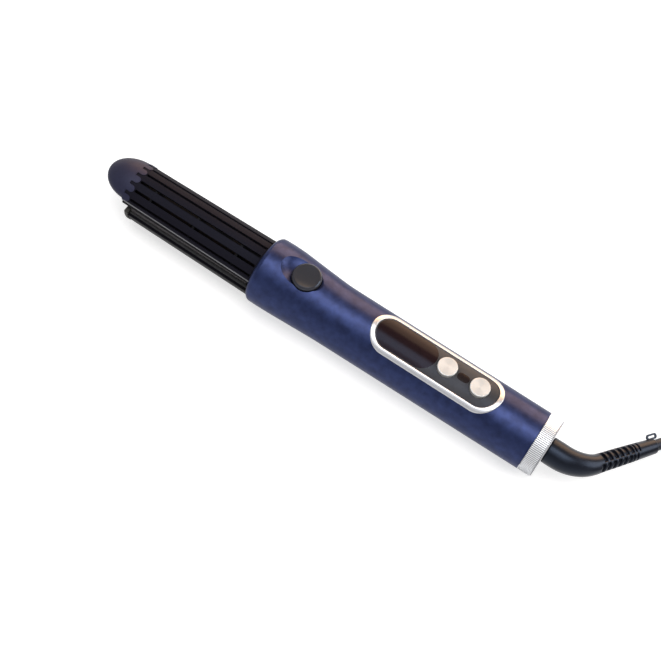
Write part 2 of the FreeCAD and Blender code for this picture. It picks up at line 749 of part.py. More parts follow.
def handle_shell():
    """One navy shell: swollen head with its dish and belly slot, tapered handle with the panel's opening."""
    outside = fuse("handle_outside", head_loft("head_outside", "0"), handle_cone("handle_outside_cone", "0"))
    front = size("collar_front_x")
    limit = size("snug")
    soft = rounded("handle_soft", outside, size("shoulder_round"), lambda edge: all(
        abs(v.Point.x - front) < limit for v in edge.Vertexes) and abs(edge.CenterOfMass.x - front) < limit)
    inside = fuse("handle_inside", head_loft("head_inside", "-handle_wall"),
                  handle_cone("handle_inside_cone", "-handle_wall"))
    dish_at = (f"{BUTTON_X} - dish_ahead", "0", "axis_height + dish_height")
    boss = put("Ellipsoid", "dish_boss", dish_at, Radius1="dish_depth + dish_wall",
               Radius2="dish_length / 2 + dish_wall", Radius3="dish_width / 2 + dish_wall")
    slab = bar("collar_slab", f"{COLLAR} - overrun", "overrun + collar_wall", "4 * handle_front_radius",
               "axis_height - 2 * handle_front_radius", "4 * handle_front_radius")
    mouth = rod("collar_mouth", f"{COLLAR} - 2 * overrun", "barrel_rear_radius + snug",
                "3 * overrun + collar_wall")
    tube = cut("handle_tube", soft, cut("handle_room", inside, boss, cut("collar_ring", slab, mouth)))
    dish = put("Ellipsoid", "dish", dish_at, Radius1="dish_depth", Radius2="dish_length / 2",
               Radius3="dish_width / 2")
    hole = stud("button_hole", BUTTON_X, "axis_height", "button_radius + slide_gap",
                "2 * handle_front_radius")
    opening = stadium("panel_opening", f"{PANEL_X} - snug", "panel_length + 2 * snug",
                      "panel_width + 2 * snug", "axis_height", "2 * handle_front_radius")
    belly = bar("belly_slot", f"{COLLAR} - overrun", "overrun + keel_front + keel_length + slot_end_room",
                "lever_width + 4 * running_gap", "axis_height - 2 * handle_front_radius",
                "2 * handle_front_radius - lever_top_drop")
    node("handle_shell", cut("handle_shell", tube, dish, hole, opening, belly))


def clamp_button():
    """Thumb cap with a shallow hollow on top and a flange that keeps it in the dish."""
    top = "axis_height + button_top"
    cap = stud("button_cap", BUTTON_X, f"{top} - button_skirt", "button_radius", "button_skirt")
    limit = size("snug")
    upper = size("axis_height") + size("button_top") - limit
    soft = rounded("button_soft", cap, size("button_round"), lambda edge: edge.CenterOfMass.z > upper)
    flange = stud("button_flange_disc", BUTTON_X, f"{top} - button_skirt",
                  "button_radius + button_flange_lip", "button_flange")
    ball = "(button_radius * button_radius + button_hollow * button_hollow) / (2 * button_hollow)"
    hollow = put("Sphere", "button_hollow_ball", (BUTTON_X, "0", f"{top} + {ball} - button_hollow"),
                 Radius=ball)
    socket = stud("button_socket", BUTTON_X, f"{top} - button_skirt - overrun", "stem_radius + snug",
                  "overrun + button_skirt / 2")
    node("clamp_button", cut("clamp_button", fuse("button_whole", soft, flange), hollow, socket))


def button_stem():
    """Plunger from the thumb cap down to the clamp lever."""
    low = "axis_height - lever_top_drop + running_gap"
    node("button_stem", stud("button_stem", BUTTON_X, low, "stem_radius",
                             "button_top - button_skirt / 2 + lever_top_drop - running_gap"))


def chassis():
    """Cradle in the handle with hinge ears, posts for the arm's root and bulkheads for the boards."""
    bore = "-handle_wall - snug"
    shell = handle_cone("cradle_outside", bore)
    hollow = handle_cone("cradle_inside", f"{bore} - cradle_wall")
    start = f"{COLLAR} + cradle_start_back"
    reach = f"{BULKHEAD_TWO} + bulkhead - ({start})"
    keep = bar("cradle_keep", start, reach, "4 * handle_front_radius",
               "axis_height - 2 * handle_front_radius", "2 * handle_front_radius - cradle_edge_drop")
    cradle = common("cradle", cut("cradle_ring", shell, hollow), keep)
    ear_low = "axis_height - handle_front_radius"
    ears = []
    posts = []
    for side in (-1, 1):
        inner = "eye_width / 2 + running_gap"
        y = f"{inner}" if side > 0 else f"-({inner}) - ear_thickness"
        ears.append(put("Box", f"ear_{side + 1}", (f"{HINGE_X} - ear_length / 2", y, ear_low),
                        Length="ear_length",
                        Width="ear_thickness", Height="handle_front_radius - ear_top_drop"))
        edge = "root_width / 2 - post_width"
        y = f"{edge}" if side > 0 else f"-({edge}) - post_width"
        posts.append(put("Box", f"post_{side + 1}", (f"{HINGE_X} - post_length / 2", y, ear_low),
                         Length="post_length",
                         Width="post_width", Height=f"{ROOT_Z} - ({ear_low})"))
    slices = []
    for i, x in enumerate((BULKHEAD_ONE, BULKHEAD_TWO)):
        slices.append(bar(f"bulkhead_{i}", x, "bulkhead", "4 * handle_front_radius",
                          "axis_height - handle_front_radius",
                          "handle_front_radius + board_height + board_thickness + board_thickness"))
    inner = common("chassis_inner", fuse("chassis_blank", *ears, *posts, *slices), shell)
    whole = fuse("chassis_whole", cradle, inner)
    bore = put("Cylinder", "ear_bore", (HINGE_X, "-root_width", HINGE_Z), ALONG_Y,
               Radius="pin_radius + pin_play",
               Height="2 * root_width")
    air = rod("bulkhead_air", f"{BULKHEAD_ONE} - overrun", "bulkhead_air_radius",
              "panel_length + 10 * bulkhead")
    taps = [
        stud(f"post_tap_{side}", HINGE_X, f"{ROOT_Z} + screw_head - screw_length", "screw_radius + snug",
             "screw_length", f"{side} * (root_width / 2 - post_width / 2)")
        for side in (-1, 1)
    ]
    node("chassis", cut("chassis", whole, bore, air, *taps))


def root_screws():
    """Two screws that hold the fixed arm's root on the chassis."""
    screws = []
    for side in (-1, 1):
        across = f"{side} * (root_width / 2 - post_width / 2)"
        seat = f"{ROOT_Z} + root_thickness"
        shank = stud(f"screw_shank_{side + 1}", HINGE_X, f"{seat} - screw_length + root_thickness",
                     "screw_radius", "screw_length - root_thickness + screw_head / 2", across)
        head = stud(f"screw_head_{side + 1}", HINGE_X, seat, "screw_head_radius", "screw_head", across)
        screws.append(fuse(f"screw_{side + 1}", shank, head))
    pair = doc.addObject("Part::Compound", "root_screws")
    pair.Links = screws
    node("root_screws", pair)


def panel_bezel():
    """Silver ring round the control panel, curved like the handle and a little proud of it."""
    outer = stadium("bezel_outer", PANEL_X, "panel_length", "panel_width", "axis_height",
                    "2 * handle_front_radius")
    inner = stadium("bezel_inner", f"{PANEL_X} + bezel_band", "panel_length - 2 * bezel_band",
                    "panel_width - 2 * bezel_band", "axis_height", "2 * handle_front_radius")
    slab = common("bezel_slab", handle_cone("bezel_skin", "bezel_proud"), outer)
    node("panel_bezel", cut("panel_bezel", slab, handle_cone("bezel_back", "-bezel_depth"), inner))


def panel_lens():
    """Smoked panel inside the bezel with holes for keys and indicator and a pocket for the display window."""
    face = stadium("lens_face", f"{PANEL_X} + bezel_band + snug", "panel_length - 2 * bezel_band - 2 * snug",
                   "panel_width - 2 * bezel_band - 2 * snug", "axis_height", "2 * handle_front_radius")
    slab = common("lens_slab", handle_cone("lens_skin", "-lens_sink"), face)
    holes = [
        stud(f"key_hole_{i}", f"{COLLAR} + {back}", "axis_height", "key_radius + slide_gap",
             "2 * handle_front_radius")
        for i, back in enumerate((KEY_ONE_BACK, KEY_TWO_BACK))
    ]
    light = indicator_blank("light_hole", "snug")
    window = window_blank("window_hole", "snug")
    pocket = cut("window_pocket", window, handle_cone("window_floor", "-lens_sink - window_thickness - snug"))
    back = handle_cone("lens_back", "-lens_sink - lens_thickness")
    node("panel_lens", cut("panel_lens", slab, back, pocket, light, *holes))


def window_blank(name, gap):
    """Upright slab of the display window's outline."""
    return stadium(name, f"{PANEL_X} + bezel_band + window_margin - ({gap})", f"window_length + 2 * ({gap})",
                   f"panel_width - 2 * bezel_band - 2 * window_margin + 2 * ({gap})", "axis_height",
                   "2 * handle_front_radius")


def indicator_blank(name, gap):
    """Upright slab of the indicator's outline."""
    return stadium(name, f"{LIGHT_X} - indicator_length / 2 - ({gap})", f"indicator_length + 2 * ({gap})",
                   f"indicator_width + 2 * ({gap})", "axis_height", "2 * handle_front_radius")


def display_window():
    """Near-black window over the display, flush in the smoked panel."""
    slab = common("window_slab", handle_cone("window_skin", "-lens_sink"), window_blank("window_face", "0"))
    node("display_window",
         cut("display_window", slab, handle_cone("window_back", "-lens_sink - window_thickness")))


def indicator():
    """Small oval indicator light pipe between the keys."""
    slab = common("light_slab", handle_cone("light_skin", "-lens_sink"), indicator_blank("light_face", "0"))
    node("indicator", cut("indicator", slab, handle_cone("light_back", "-lens_sink - indicator_depth")))


def panel_skin(back):
    """Height of the smoked panel's crown at a distance behind the collar."""
    fall = f"handle_taper * (({back}) - head_length) / (handle_length - head_length)"
    return f"(axis_height + handle_front_radius - {fall} - lens_sink)"


def key(label, back):
    """Round metal key with a softened rim and a flange under the panel."""
    x = f"{COLLAR} + {back}"
    top = f"{panel_skin(back)} + key_proud"
    cap = stud(label + "_cap", x, f"{top} - key_height", "key_radius", "key_height")
    limit = size("snug")
    soft = rounded(label + "_soft", cap, size("key_round"),
                   lambda edge: edge.CenterOfMass.z > cap.Shape.BoundBox.ZMax - limit)
    flange = stud(label + "_flange", x, f"{top} - key_height", "key_radius + key_flange_lip", "key_flange")
    node(label, fuse(label, soft, flange))


def control_board():
    """Board under the panel, from bulkhead to bulkhead."""
    node("control_board",
         bar("control_board", f"{BULKHEAD_ONE} + bulkhead", f"{BULKHEAD_TWO} - {BULKHEAD_ONE} - bulkhead",
                              "board_width", "axis_height + board_height", "board_thickness"))


def key_switches():
    """Two push switches on the control board, each a housing with a round plunger."""
    pair = []
    for i, back in enumerate((KEY_ONE_BACK, KEY_TWO_BACK)):
        x = f"{COLLAR} + {back}"
        plunger = f"{panel_skin(back)} + key_proud - key_height - key_travel - snug - {BOARD_TOP}"
        body = bar(f"switch_body_{i}", f"{x} - switch_side / 2", "switch_side", "switch_side", BOARD_TOP,
                   "switch_height")
        knob = stud(f"switch_knob_{i}", x, BOARD_TOP, "switch_plunger_radius", plunger)
        pair.append(fuse(f"switch_{i}", body, knob))
    both = doc.addObject("Part::Compound", "key_switches")
    both.Links = pair
    node("key_switches", both)


def display_module():
    """Display block on the control board under its window."""
    node("display_module",
         bar("display_module", f"{PANEL_X} + bezel_band + display_margin",
             "window_length - 2 * display_margin", "display_width", BOARD_TOP, "display_height"))


def power_board():
    """Lower board with a capacitor and a choke block."""
    low = "axis_height - power_board_drop"
    top = f"{low} + board_thickness"
    board = bar("power_board_sheet", f"{BULKHEAD_ONE} + bulkhead",
                f"{BULKHEAD_TWO} - {BULKHEAD_ONE} - bulkhead", "power_board_width", low, "board_thickness")
    first = f"{BULKHEAD_ONE} + bulkhead + part_spacing"
    can = rod("power_can", first, "capacitor_radius", "capacitor_length", f"{top} + capacitor_radius - snug")
    choke = bar("power_choke", f"{first} + capacitor_length + part_spacing", "coil_block_side",
                "coil_block_side", f"{top} - snug", "coil_block_height")
    node("power_board", fuse("power_board", board, can, choke))


def fan():
    """Duct, motor and bladed wheel that draw air in at the tail and push it to the barrel."""
    duct_radius = "handle_rear_radius - handle_wall - snug"
    outer = rod("fan_duct_outer", FAN_X, duct_radius, "fan_length")
    inner = rod("fan_duct_inner", f"{FAN_X} + fan_ring", f"{duct_radius} - fan_wall", "fan_length")
    face_air = [
        spoke(f"fan_window_{i}", f"{FAN_X} - overrun", "fan_ring + 2 * overrun", "motor_radius / 2",
              f"{duct_radius} - fan_wall", 360 / 6 * i + 30)
        for i in range(6)
    ]
    hub = rod("fan_hub", FAN_X, "motor_radius + fan_wall", "fan_ring")
    duct = fuse("fan_duct", cut("fan_duct_open", outer, inner, *face_air), hub)
    node("fan_housing", duct)
    body = rod("motor_body", f"{FAN_X} + fan_ring", "motor_radius", "motor_length")
    shaft = rod("motor_shaft", f"{FAN_X} + fan_ring + motor_length - overrun", "shaft_radius",
                "overrun + running_gap + impeller_length")
    node("fan_motor", fuse("fan_motor", body, shaft))
    start = f"{FAN_X} + fan_ring + motor_length + running_gap"
    wheel = rod("impeller_hub", start, "impeller_hub_radius", "impeller_length")
    blades = []
    count = int(size("blade_count"))
    pitch = FreeCAD.Rotation(V(0, 0, 1), size("blade_pitch_degrees"))
    mid = size("impeller_length") / 2
    start_x = (size("collar_front_x") + size("panel_back") + size("panel_length") + 1.5 * size("bulkhead")
               + size("fan_ring") + size("motor_length") + size("running_gap"))
    for i in range(count):
        blade = Part.makeBox(2 * size("impeller_length"), size("blade_thickness"),
                             size("impeller_radius") - size("shaft_radius") - size("snug"),
                             V(-size("impeller_length"), -size("blade_thickness") / 2,
                               size("shaft_radius") + size("snug")))
        blade.Placement = FreeCAD.Placement(V(0, 0, 0), pitch)
        blade.rotate(V(0, 0, 0), V(1, 0, 0), 360 / count * i)
        blade.translate(V(start_x + mid, 0, size("axis_height")))
        blades.append(made(f"blade_{i}", blade))
    ring = rod("impeller_reach", start, "impeller_radius", "impeller_length")
    vanes = common("impeller_vanes", fuse("blades", *blades), ring)
    bore = rod("impeller_bore", f"{start} - overrun", "shaft_radius + pin_play",
               "impeller_length + 2 * overrun")
    node("fan_impeller", cut("fan_impeller", fuse("impeller_whole", wheel, vanes), bore))


def intake_ring():
    """Silver ring with straight fine ribs along the axis all round it."""
    count = int(size("rib_count"))
    crest = size("handle_rear_radius")
    root = crest - size("rib_depth")
    step = 2 * math.pi / count
    flank_share = 1 - size("rib_share")
    corners = []
    for i in range(count):
        for radius, side in ((root, -0.5), (crest, -0.5 + flank_share), (crest, 0.5 - flank_share / 2)):
            angle = (i + side) * step
            corners.append(V(0, radius * math.sin(angle), radius * math.cos(angle)))
    corners.append(corners[0])
    length = size("ring_length") - size("ring_gap") - size("cap_lip") - size("ring_gap")
    face = Part.Face(Part.makePolygon(corners))
    solid = face.extrude(V(length, 0, 0))
    bore = Part.makeCylinder(crest - size("ring_wall"), length, V(0, 0, 0), V(1, 0, 0))
    ring = made("intake_ring", solid.cut(bore))
    tie(ring, "Placement.Base.x", f"{TAIL} + ring_gap")
    tie(ring, "Placement.Base.z", "axis_height")
    node("intake_ring", ring)


def end_cap():
    """Rear cap: spigot that carries the ribbed ring, disc with intake holes, boss for the swivel."""
    reach = "handle_rear_radius - ring_wall - slide_gap"
    spigot = rod("cap_spigot", f"{TAIL} - cap_spigot_length", reach,
                 "cap_spigot_length + ring_length - cap_lip")
    seat = rod("cap_seat", f"{TAIL} - cap_spigot_length", "handle_rear_radius - handle_wall - snug",
               "cap_spigot_length - ring_gap")
    disc = rod("cap_disc_blank", f"{REAR} - cap_lip", "handle_rear_radius - cap_edge_inset", "cap_lip")
    hollow = rod("cap_hollow", f"{TAIL} - cap_spigot_length - overrun", f"{reach} - cap_spigot_wall",
                 "overrun + cap_spigot_length + ring_length - cap_disc")
    boss = rod("cap_boss", f"{REAR} - cap_disc - neck_boss_length",
               "neck_radius + neck_play + neck_boss_wall", "neck_boss_length + cap_disc / 2")
    tube = cut("cap_tube", fuse("cap_blank", spigot, seat, disc), hollow)
    bore = rod("cap_bore", f"{REAR} - cap_disc - neck_boss_length - overrun", "neck_radius + neck_play",
               "cap_disc + neck_boss_length + 2 * overrun")
    holes = []
    count = int(size("intake_hole_count"))
    for i in range(count):
        angle = 2 * math.pi * i / count
        holes.append(rod(f"intake_hole_{i}", f"{REAR} - 2 * cap_disc", "intake_hole_radius", "3 * cap_disc",
                         f"axis_height + intake_circle_radius * {math.cos(angle):.9f}",
                         f"intake_circle_radius * {math.sin(angle):.9f}"))
    node("end_cap", cut("end_cap", fuse("cap_whole", tube, boss), bore, *holes))


def intake_filter():
    """Flat ring of filter foam behind the intake holes."""
    reach = "handle_rear_radius - ring_wall - slide_gap - cap_spigot_wall - snug"
    disc = rod("filter_disc", f"{REAR} - cap_disc - filter_thickness", reach, "filter_thickness")
    eye = rod("filter_eye", f"{REAR} - cap_disc - filter_thickness - overrun",
              "neck_radius + neck_play + neck_boss_wall + snug", "filter_thickness + 2 * overrun")
    node("intake_filter", cut("intake_filter", disc, eye))


def swivel_spindle():
    """Turning neck of the cord's strain relief with the flange that keeps it in the end cap."""
    neck = rod("spindle_neck", f"{REAR} - cap_disc - neck_boss_length - slide_gap - neck_flange",
               "neck_radius", "cap_disc + neck_boss_length + 2 * slide_gap + neck_flange")
    flange = rod("spindle_flange", f"{REAR} - cap_disc - neck_boss_length - slide_gap - neck_flange",
                 "neck_radius + neck_flange_lip", "neck_flange")
    node("swivel_spindle", fuse("swivel_spindle", neck, flange))


# The boot's centre line: straight, one bend in a plane that falls to the side, then straight again
boot_start = V(size("collar_front_x") + size("handle_length") + size("ring_length") + size("slide_gap"), 0,
               size("axis_height"))
boot_fall = math.radians(size("boot_fall_degrees"))
boot_side = V(0, math.cos(boot_fall), -math.sin(boot_fall))
boot_bend_length = size("boot_curve_radius") * math.radians(size("boot_turn_degrees"))
boot_length = size("boot_straight") + boot_bend_length + size("boot_run")


def boot_place(along):
    """Point and direction on the boot's centre line at a length from its base."""
    straight = size("boot_straight")
    radius = size("boot_curve_radius")
    ahead = V(1, 0, 0)
    if along <= straight:
        return boot_start + ahead * along, ahead
    angle = min((along - straight) / radius, math.radians(size("boot_turn_degrees")))
    spot = boot_start + ahead * (straight + radius * math.sin(angle))
    spot += boot_side * (radius * (1 - math.cos(angle)))
    way = ahead * math.cos(angle) + boot_side * math.sin(angle)
    past = max(along - straight - boot_bend_length, 0.0)
    return spot + way * past, way


def strain_relief():
    """Tapered rubber boot: round sections along its centre line, staggered flex slots in its far half."""
    bend_start = size("boot_straight")
    run_start = bend_start + boot_bend_length
    slot_reach = size("slot_start") + size("slot_pitch") * size("slot_count")
    sections = (
        (0.0, size("boot_base_radius")),
        (bend_start, size("boot_base_radius")),
        (bend_start + boot_bend_length / 2, size("boot_bend_radius")),
        (run_start, size("boot_waist_radius")),
        (run_start + slot_reach, size("boot_slot_end_radius")),
        (boot_length, size("boot_end_radius")),
    )
    rings = []
    for along, radius in sections:
        spot, way = boot_place(along)
        rings.append(Part.Wire([Part.makeCircle(radius, spot, way)]))
    boot = Part.makeLoft(rings, True, False)
    slots = []
    _, way = boot_place(boot_length)
    roll = math.radians(size("slot_roll_degrees"))
    level = way.cross(V(0, 0, 1)).normalize()
    plumb = level.cross(way).normalize()
    across = level * math.cos(roll) + plumb * math.sin(roll)
    up = plumb * math.cos(roll) - level * math.sin(roll)
    half = size("slot_width") / 2
    wide = size("boot_slot_end_radius") / math.sqrt(2) - size("slot_spine") / 2
    reach = size("boot_base_radius")
    for i in range(int(size("slot_count"))):
        for side, lean in ((across, 0.0), (across * -1, 0.0), (up, 0.5), (up * -1, 0.5)):
            along = run_start + size("slot_start") + (i + lean) * size("slot_pitch")
            spot, _ = boot_place(along)
            depth = size("cord_radius")
            other = way.cross(side).normalize()
            corner = spot + side * depth - other * wide - way * half
            corners = [corner, corner + other * (2 * wide), corner + other * (2 * wide) + way * (2 * half),
                       corner + way * (2 * half), corner]
            slots.append(Part.Face(Part.makePolygon(corners)).extrude(side * reach))
    node("strain_relief", made("strain_relief", boot.cut(slots)))


def hang_loop():
    """Slim moulded loop on the far end of the boot."""
    spot, way = boot_place(boot_length)
    roll = math.radians(size("loop_roll_degrees"))
    level = V(0, 0, 1).cross(way).normalize()
    plumb = way.cross(level).normalize()
    across = level * math.cos(roll) + plumb * math.sin(roll)
    up = way.cross(across).normalize()
    length = size("loop_length")
    width = size("loop_width")
    wire = size("loop_wire")
    outer = Part.makeBox(length - width, width, wire, V(width / 2, 0, 0))
    inner = Part.makeBox(length - width, width - 2 * wire, wire, V(width / 2, wire, 0))
    for x in (width / 2, length - width / 2):
        outer = outer.fuse(Part.makeCylinder(width / 2, wire, V(x, width / 2, 0)))
        inner = inner.fuse(Part.makeCylinder(width / 2 - wire, wire, V(x, width / 2, 0)))
    ring = outer.cut(inner).removeSplitter()
    ring.translate(V(size("loop_past") - length, 0, -wire / 2))
    frame = FreeCAD.Matrix(way.x, across.x, up.x, spot.x, way.y, across.y, up.y, spot.y, way.z, across.z,
                           up.z, spot.z)
    ring.Placement = FreeCAD.Placement(frame).multiply(ring.Placement)
    ring.translate(across * (size("boot_end_radius") - size("loop_sink")))
    node("hang_loop", made("hang_loop", ring))


# Cord: the route's points, then the coil that begins where the route ends
boot_tip, boot_way = boot_place(boot_length)
lead_points = [boot_tip, boot_tip + boot_way * size("lead_first_run")]
lead_points += [V(boot_tip.x + x, boot_tip.y + y, z) for x, y, z in LEAD_ROUTE]
lead_way = (lead_points[-1] - lead_points[-2]).normalize()
coil_low = size("cord_radius") + size("tie_thickness") + size("tie_gap")
coil_way = V(lead_way.x, lead_way.y, 0).normalize()
coil_start = V(lead_points[-1].x, lead_points[-1].y, coil_low) + coil_way * (2 * size("cord_radius"))
coil_outer = size("coil_mean_radius") + size("coil_layer_turns") * size("coil_pitch") / 2
coil_centre = coil_start + V(coil_way.y, -coil_way.x, 0) * coil_outer
coil_start_angle = math.atan2(coil_start.y - coil_centre.y, coil_start.x - coil_centre.x)
coil_last_turns = 1.5 - size("plug_back_degrees") / 360
coil_total_turns = 2 * size("coil_layer_turns") + coil_last_turns


def coil_radius_and_height(turns):
    """Radius and rise of the coil: in at a steady rate, out a layer higher, then in on top to the plug."""
    pitch = size("coil_pitch")
    layer = size("coil_layer_turns")
    plug_rise = size("plug_thickness") / 2 + size("plug_lift") - size("cord_radius")

    def ease(share):
        share = min(max(share, 0.0), 1.0)
        return share * share * (3 - 2 * share)

    def turned_in(count):
        """Inward travel in pitches: steady, with a parabola over the half turn where the spiral reverses."""
        travel = 0.0
        for i, sign in enumerate((1, -1, 1)):
            begin = i * (layer + 0.5)
            travel += sign * min(max(count - begin, 0.0), layer)
            bend = min(max(count - begin - layer, 0.0), 0.5)
            if i < 2:
                travel += sign * (bend - 2 * bend * bend)
        return travel

    radius = coil_outer - pitch * turned_in(turns)
    height = pitch * (ease((turns - layer) / 0.5) + ease((turns - 2 * layer - 0.5) / 0.5))
    height += plug_rise * ease((turns - 2 * layer - 1) / (coil_last_turns - 1))
    return radius, height


def coil_point(turns):
    """Point of the coil's centre line after a number of turns, clockwise from above."""
    radius, height = coil_radius_and_height(turns)
    angle = coil_start_angle - 2 * math.pi * turns
    return coil_centre + V(radius * math.cos(angle), radius * math.sin(angle), height)


def coil_direction(turns):
    """Direction of the coil's centre line, from points close by."""
    step = 0.001
    return (coil_point(turns + step) - coil_point(turns - step)).normalize()


def coil_end():
    """Last point and level direction of the coil, where the plug begins."""
    way = coil_direction(coil_total_turns - 0.001)
    return coil_point(coil_total_turns), V(way.x, way.y, 0).normalize()


def least_gap(points, spacing, diameter):
    """Least clear distance between stretches of a tube that are not neighbours along it."""
    skip = int(math.pi * diameter / spacing) + 1
    least = None
    for i, first in enumerate(points):
        for second in points[i + skip:]:
            distance = (first - second).Length
            if least is None or distance < least:
                least = distance
    return least - diameter


def cord_lead():
    """Free stretch of cord from the boot's end to the coil."""
    wire, radii = route_wire(lead_points)
    tube = swept(wire, size("cord_radius"))
    section = math.pi * size("cord_radius") ** 2
    print("lead radii", [round(radius, 1) for radius in radii], "length", round(wire.Length, 1),
          "volume share", round(tube.Volume / (section * wire.Length), 4))
    node("cord_lead", made("cord_lead", tube))
    return wire.Length


def cord_coil():
    """Put-away length of the cord: piled loops as one unbroken tube on arcs of a quarter turn."""
    quarters = math.ceil(coil_total_turns * 4)
    stops = [i / 4 for i in range(quarters)] + [coil_total_turns]
    edges = [Part.LineSegment(lead_points[-1], lead_points[-1] + lead_way * size("cord_radius")).toShape()]
    first = lead_points[-1] + lead_way * size("cord_radius")
    edges += biarc(first, lead_way, coil_point(0), coil_way)
    ways = [coil_direction(stop) for stop in stops]
    ways[0] = coil_way
    end, end_way = coil_end()
    ways[-1] = end_way
    for i in range(quarters):
        edges += biarc(coil_point(stops[i]), ways[i], coil_point(stops[i + 1]), ways[i + 1])
    edges.append(Part.LineSegment(end, end + end_way * (2 * size("cord_radius"))).toShape())
    wire = Part.Wire(edges)
    tube = swept(wire, size("cord_radius"))
    spacing = size("cord_radius") / 2
    points = wire.discretize(Distance=spacing)
    section = math.pi * size("cord_radius") ** 2
    print("coil length", round(wire.Length, 1), "volume share",
          round(tube.Volume / (section * wire.Length), 4),
          "least gap to itself", round(least_gap(points, spacing, 2 * size("cord_radius")), 3))
    node("cord_coil", made("cord_coil", tube))
    return wire.Length


def cord_tie():
    """Strap loop round the bundle of turns on the side away from the lead and the plug."""
    pitch = size("coil_pitch")
    gap = size("tie_gap") + size("cord_radius")
    angle = coil_start_angle - 2 * math.pi * 0.5
    edge = size("coil_mean_radius") - size("coil_layer_turns") * pitch / 2 - size("cord_radius")
    inner = math.sqrt(edge * edge - size("tie_width") ** 2 / 4) - size("tie_gap")
    outer = coil_outer + gap
    low = size("tie_thickness")
    high = coil_low + pitch + gap
    wall = size("tie_thickness")
    width = size("tie_width")
    strap = Part.makeBox(outer - inner + 2 * wall, width, high - low + 2 * wall,
                         V(inner - wall, -width / 2, low - wall))
    hole = Part.makeBox(outer - inner, width, high - low, V(inner, -width / 2, low))
    tie_ring = strap.cut(hole)
    tie_ring.rotate(V(0, 0, 0), V(0, 0, 1), math.degrees(angle))
    tie_ring.translate(V(coil_centre.x, coil_centre.y, 0))
    node("cord_tie", made("cord_tie", tie_ring))


def plug():
    """Flat two-pin plug on the coil: a tapered body with softened edges and two round pins."""
    end, way = coil_end()
    start = end + way * (2 * size("cord_radius"))
    across = V(-way.y, way.x, 0)
    half = size("plug_width") / 2
    neck = size("plug_neck_width") / 2
    length = size("plug_length")
    shoulder = length / 2
    outline = [V(0, -neck, 0), V(shoulder, -half, 0), V(length, -half, 0), V(length, half, 0),
               V(shoulder, half, 0), V(0, neck, 0), V(0, -neck, 0)]
    thick = size("plug_thickness")
    body = Part.Face(Part.makePolygon(outline)).extrude(V(0, 0, thick))
    long_edges = [edge for edge in body.Edges if abs(edge.tangentAt(edge.FirstParameter).z) < 0.5
                  and edge.BoundBox.XMin < length - size("snug")]
    body = body.makeFillet(size("plug_round"), long_edges)
    body.translate(V(0, 0, -thick / 2))
    pins = [
        Part.makeCylinder(size("plug_pin_radius"), size("plug_pin_length"),
                          V(length, side * size("plug_pin_spacing") / 2, 0), V(1, 0, 0))
        for side in (-1, 1)
    ]
    frame = FreeCAD.Matrix(way.x, across.x, 0, start.x, way.y, across.y, 0, start.y, 0, 0, 1, start.z)
    body.Placement = FreeCAD.Placement(frame).multiply(body.Placement)
    for pin in pins:
        pin.Placement = FreeCAD.Placement(frame).multiply(pin.Placement)
    node("plug_body", made("plug_body", body))
    node("plug_pins", made("plug_pins", Part.makeCompound(pins)))


upper_shell()
nose_cap()
upper_tray()
plate("upper_plate", "axis_height + plate_plane")
heater("upper_heater", PLATE_TOP)
thermal_fuse()
lower_shell()
tip_cap()
clamp_lever()
plate("lower_plate", LOWER_SEAT)
heater("lower_heater", LOWER_FLOOR)
hinge_pin()
clamp_spring()
handle_shell()
clamp_button()
button_stem()
chassis()
root_screws()
panel_bezel()
panel_lens()
display_window()
indicator()
key("power_key", KEY_ONE_BACK)
key("mode_key", KEY_TWO_BACK)
control_board()
key_switches()
display_module()
power_board()
fan()
intake_ring()
end_cap()
intake_filter()
swivel_spindle()
strain_relief()
hang_loop()
cord_length = cord_lead() + cord_coil()
print("cord length", round(cord_length, 1))
cord_tie()
plug()
doc.recompute()

# Every object has to be sound before anything is written
faults = [piece.Name for piece in doc.Objects if "Invalid" in piece.State or "Error" in piece.State]
faults += [piece.Label for piece in nodes if piece.Shape.isNull() or not piece.Shape.isValid()]
if faults:
    raise RuntimeError("unsound objects: " + ", ".join(faults))
os.makedirs("parts", exist_ok=True)
for piece in nodes:
    piece.Shape.exportStep(f"parts/{piece.Label}.step")
print(len(nodes), "sub-parts written")
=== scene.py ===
import math

import bpy
import numpy as np
from bpy.props import FloatProperty, FloatVectorProperty, IntProperty, PointerProperty
from mathutils import Matrix, Vector


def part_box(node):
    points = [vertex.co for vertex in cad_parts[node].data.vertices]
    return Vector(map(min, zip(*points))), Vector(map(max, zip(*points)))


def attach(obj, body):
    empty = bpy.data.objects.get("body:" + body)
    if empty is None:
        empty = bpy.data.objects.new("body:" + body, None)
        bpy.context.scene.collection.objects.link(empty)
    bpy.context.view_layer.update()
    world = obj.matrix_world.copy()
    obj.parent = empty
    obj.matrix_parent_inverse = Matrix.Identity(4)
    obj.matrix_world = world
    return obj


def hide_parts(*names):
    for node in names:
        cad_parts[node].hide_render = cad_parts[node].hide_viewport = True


bl_info = {
    "name": "Hair Straightener Dresser",
    "version": (1, 0, 0),
    "blender": (4, 5, 0),
    "location": "View3D > Sidebar > Straightener",
    "description": "Dresses the packed hair straightener with its finishes, cord and studio",
    "category": "Object",
}

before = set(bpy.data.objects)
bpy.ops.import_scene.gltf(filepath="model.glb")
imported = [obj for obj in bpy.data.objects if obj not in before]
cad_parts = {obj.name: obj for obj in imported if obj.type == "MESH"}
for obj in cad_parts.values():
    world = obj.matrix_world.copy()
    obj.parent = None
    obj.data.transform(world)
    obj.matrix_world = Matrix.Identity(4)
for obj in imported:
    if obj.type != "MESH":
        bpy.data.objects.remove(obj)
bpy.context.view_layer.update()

# Control points of the free lead: steps along X and Y from the boot's end, and heights, in metres
LEAD_ROUTE = (
    (0.0156, 0.0214, 0.0042),
    (0.0306, 0.0324, 0.0042),
    (0.0484, 0.0404, 0.0044),
    (0.0672, 0.0448, 0.0047),
)

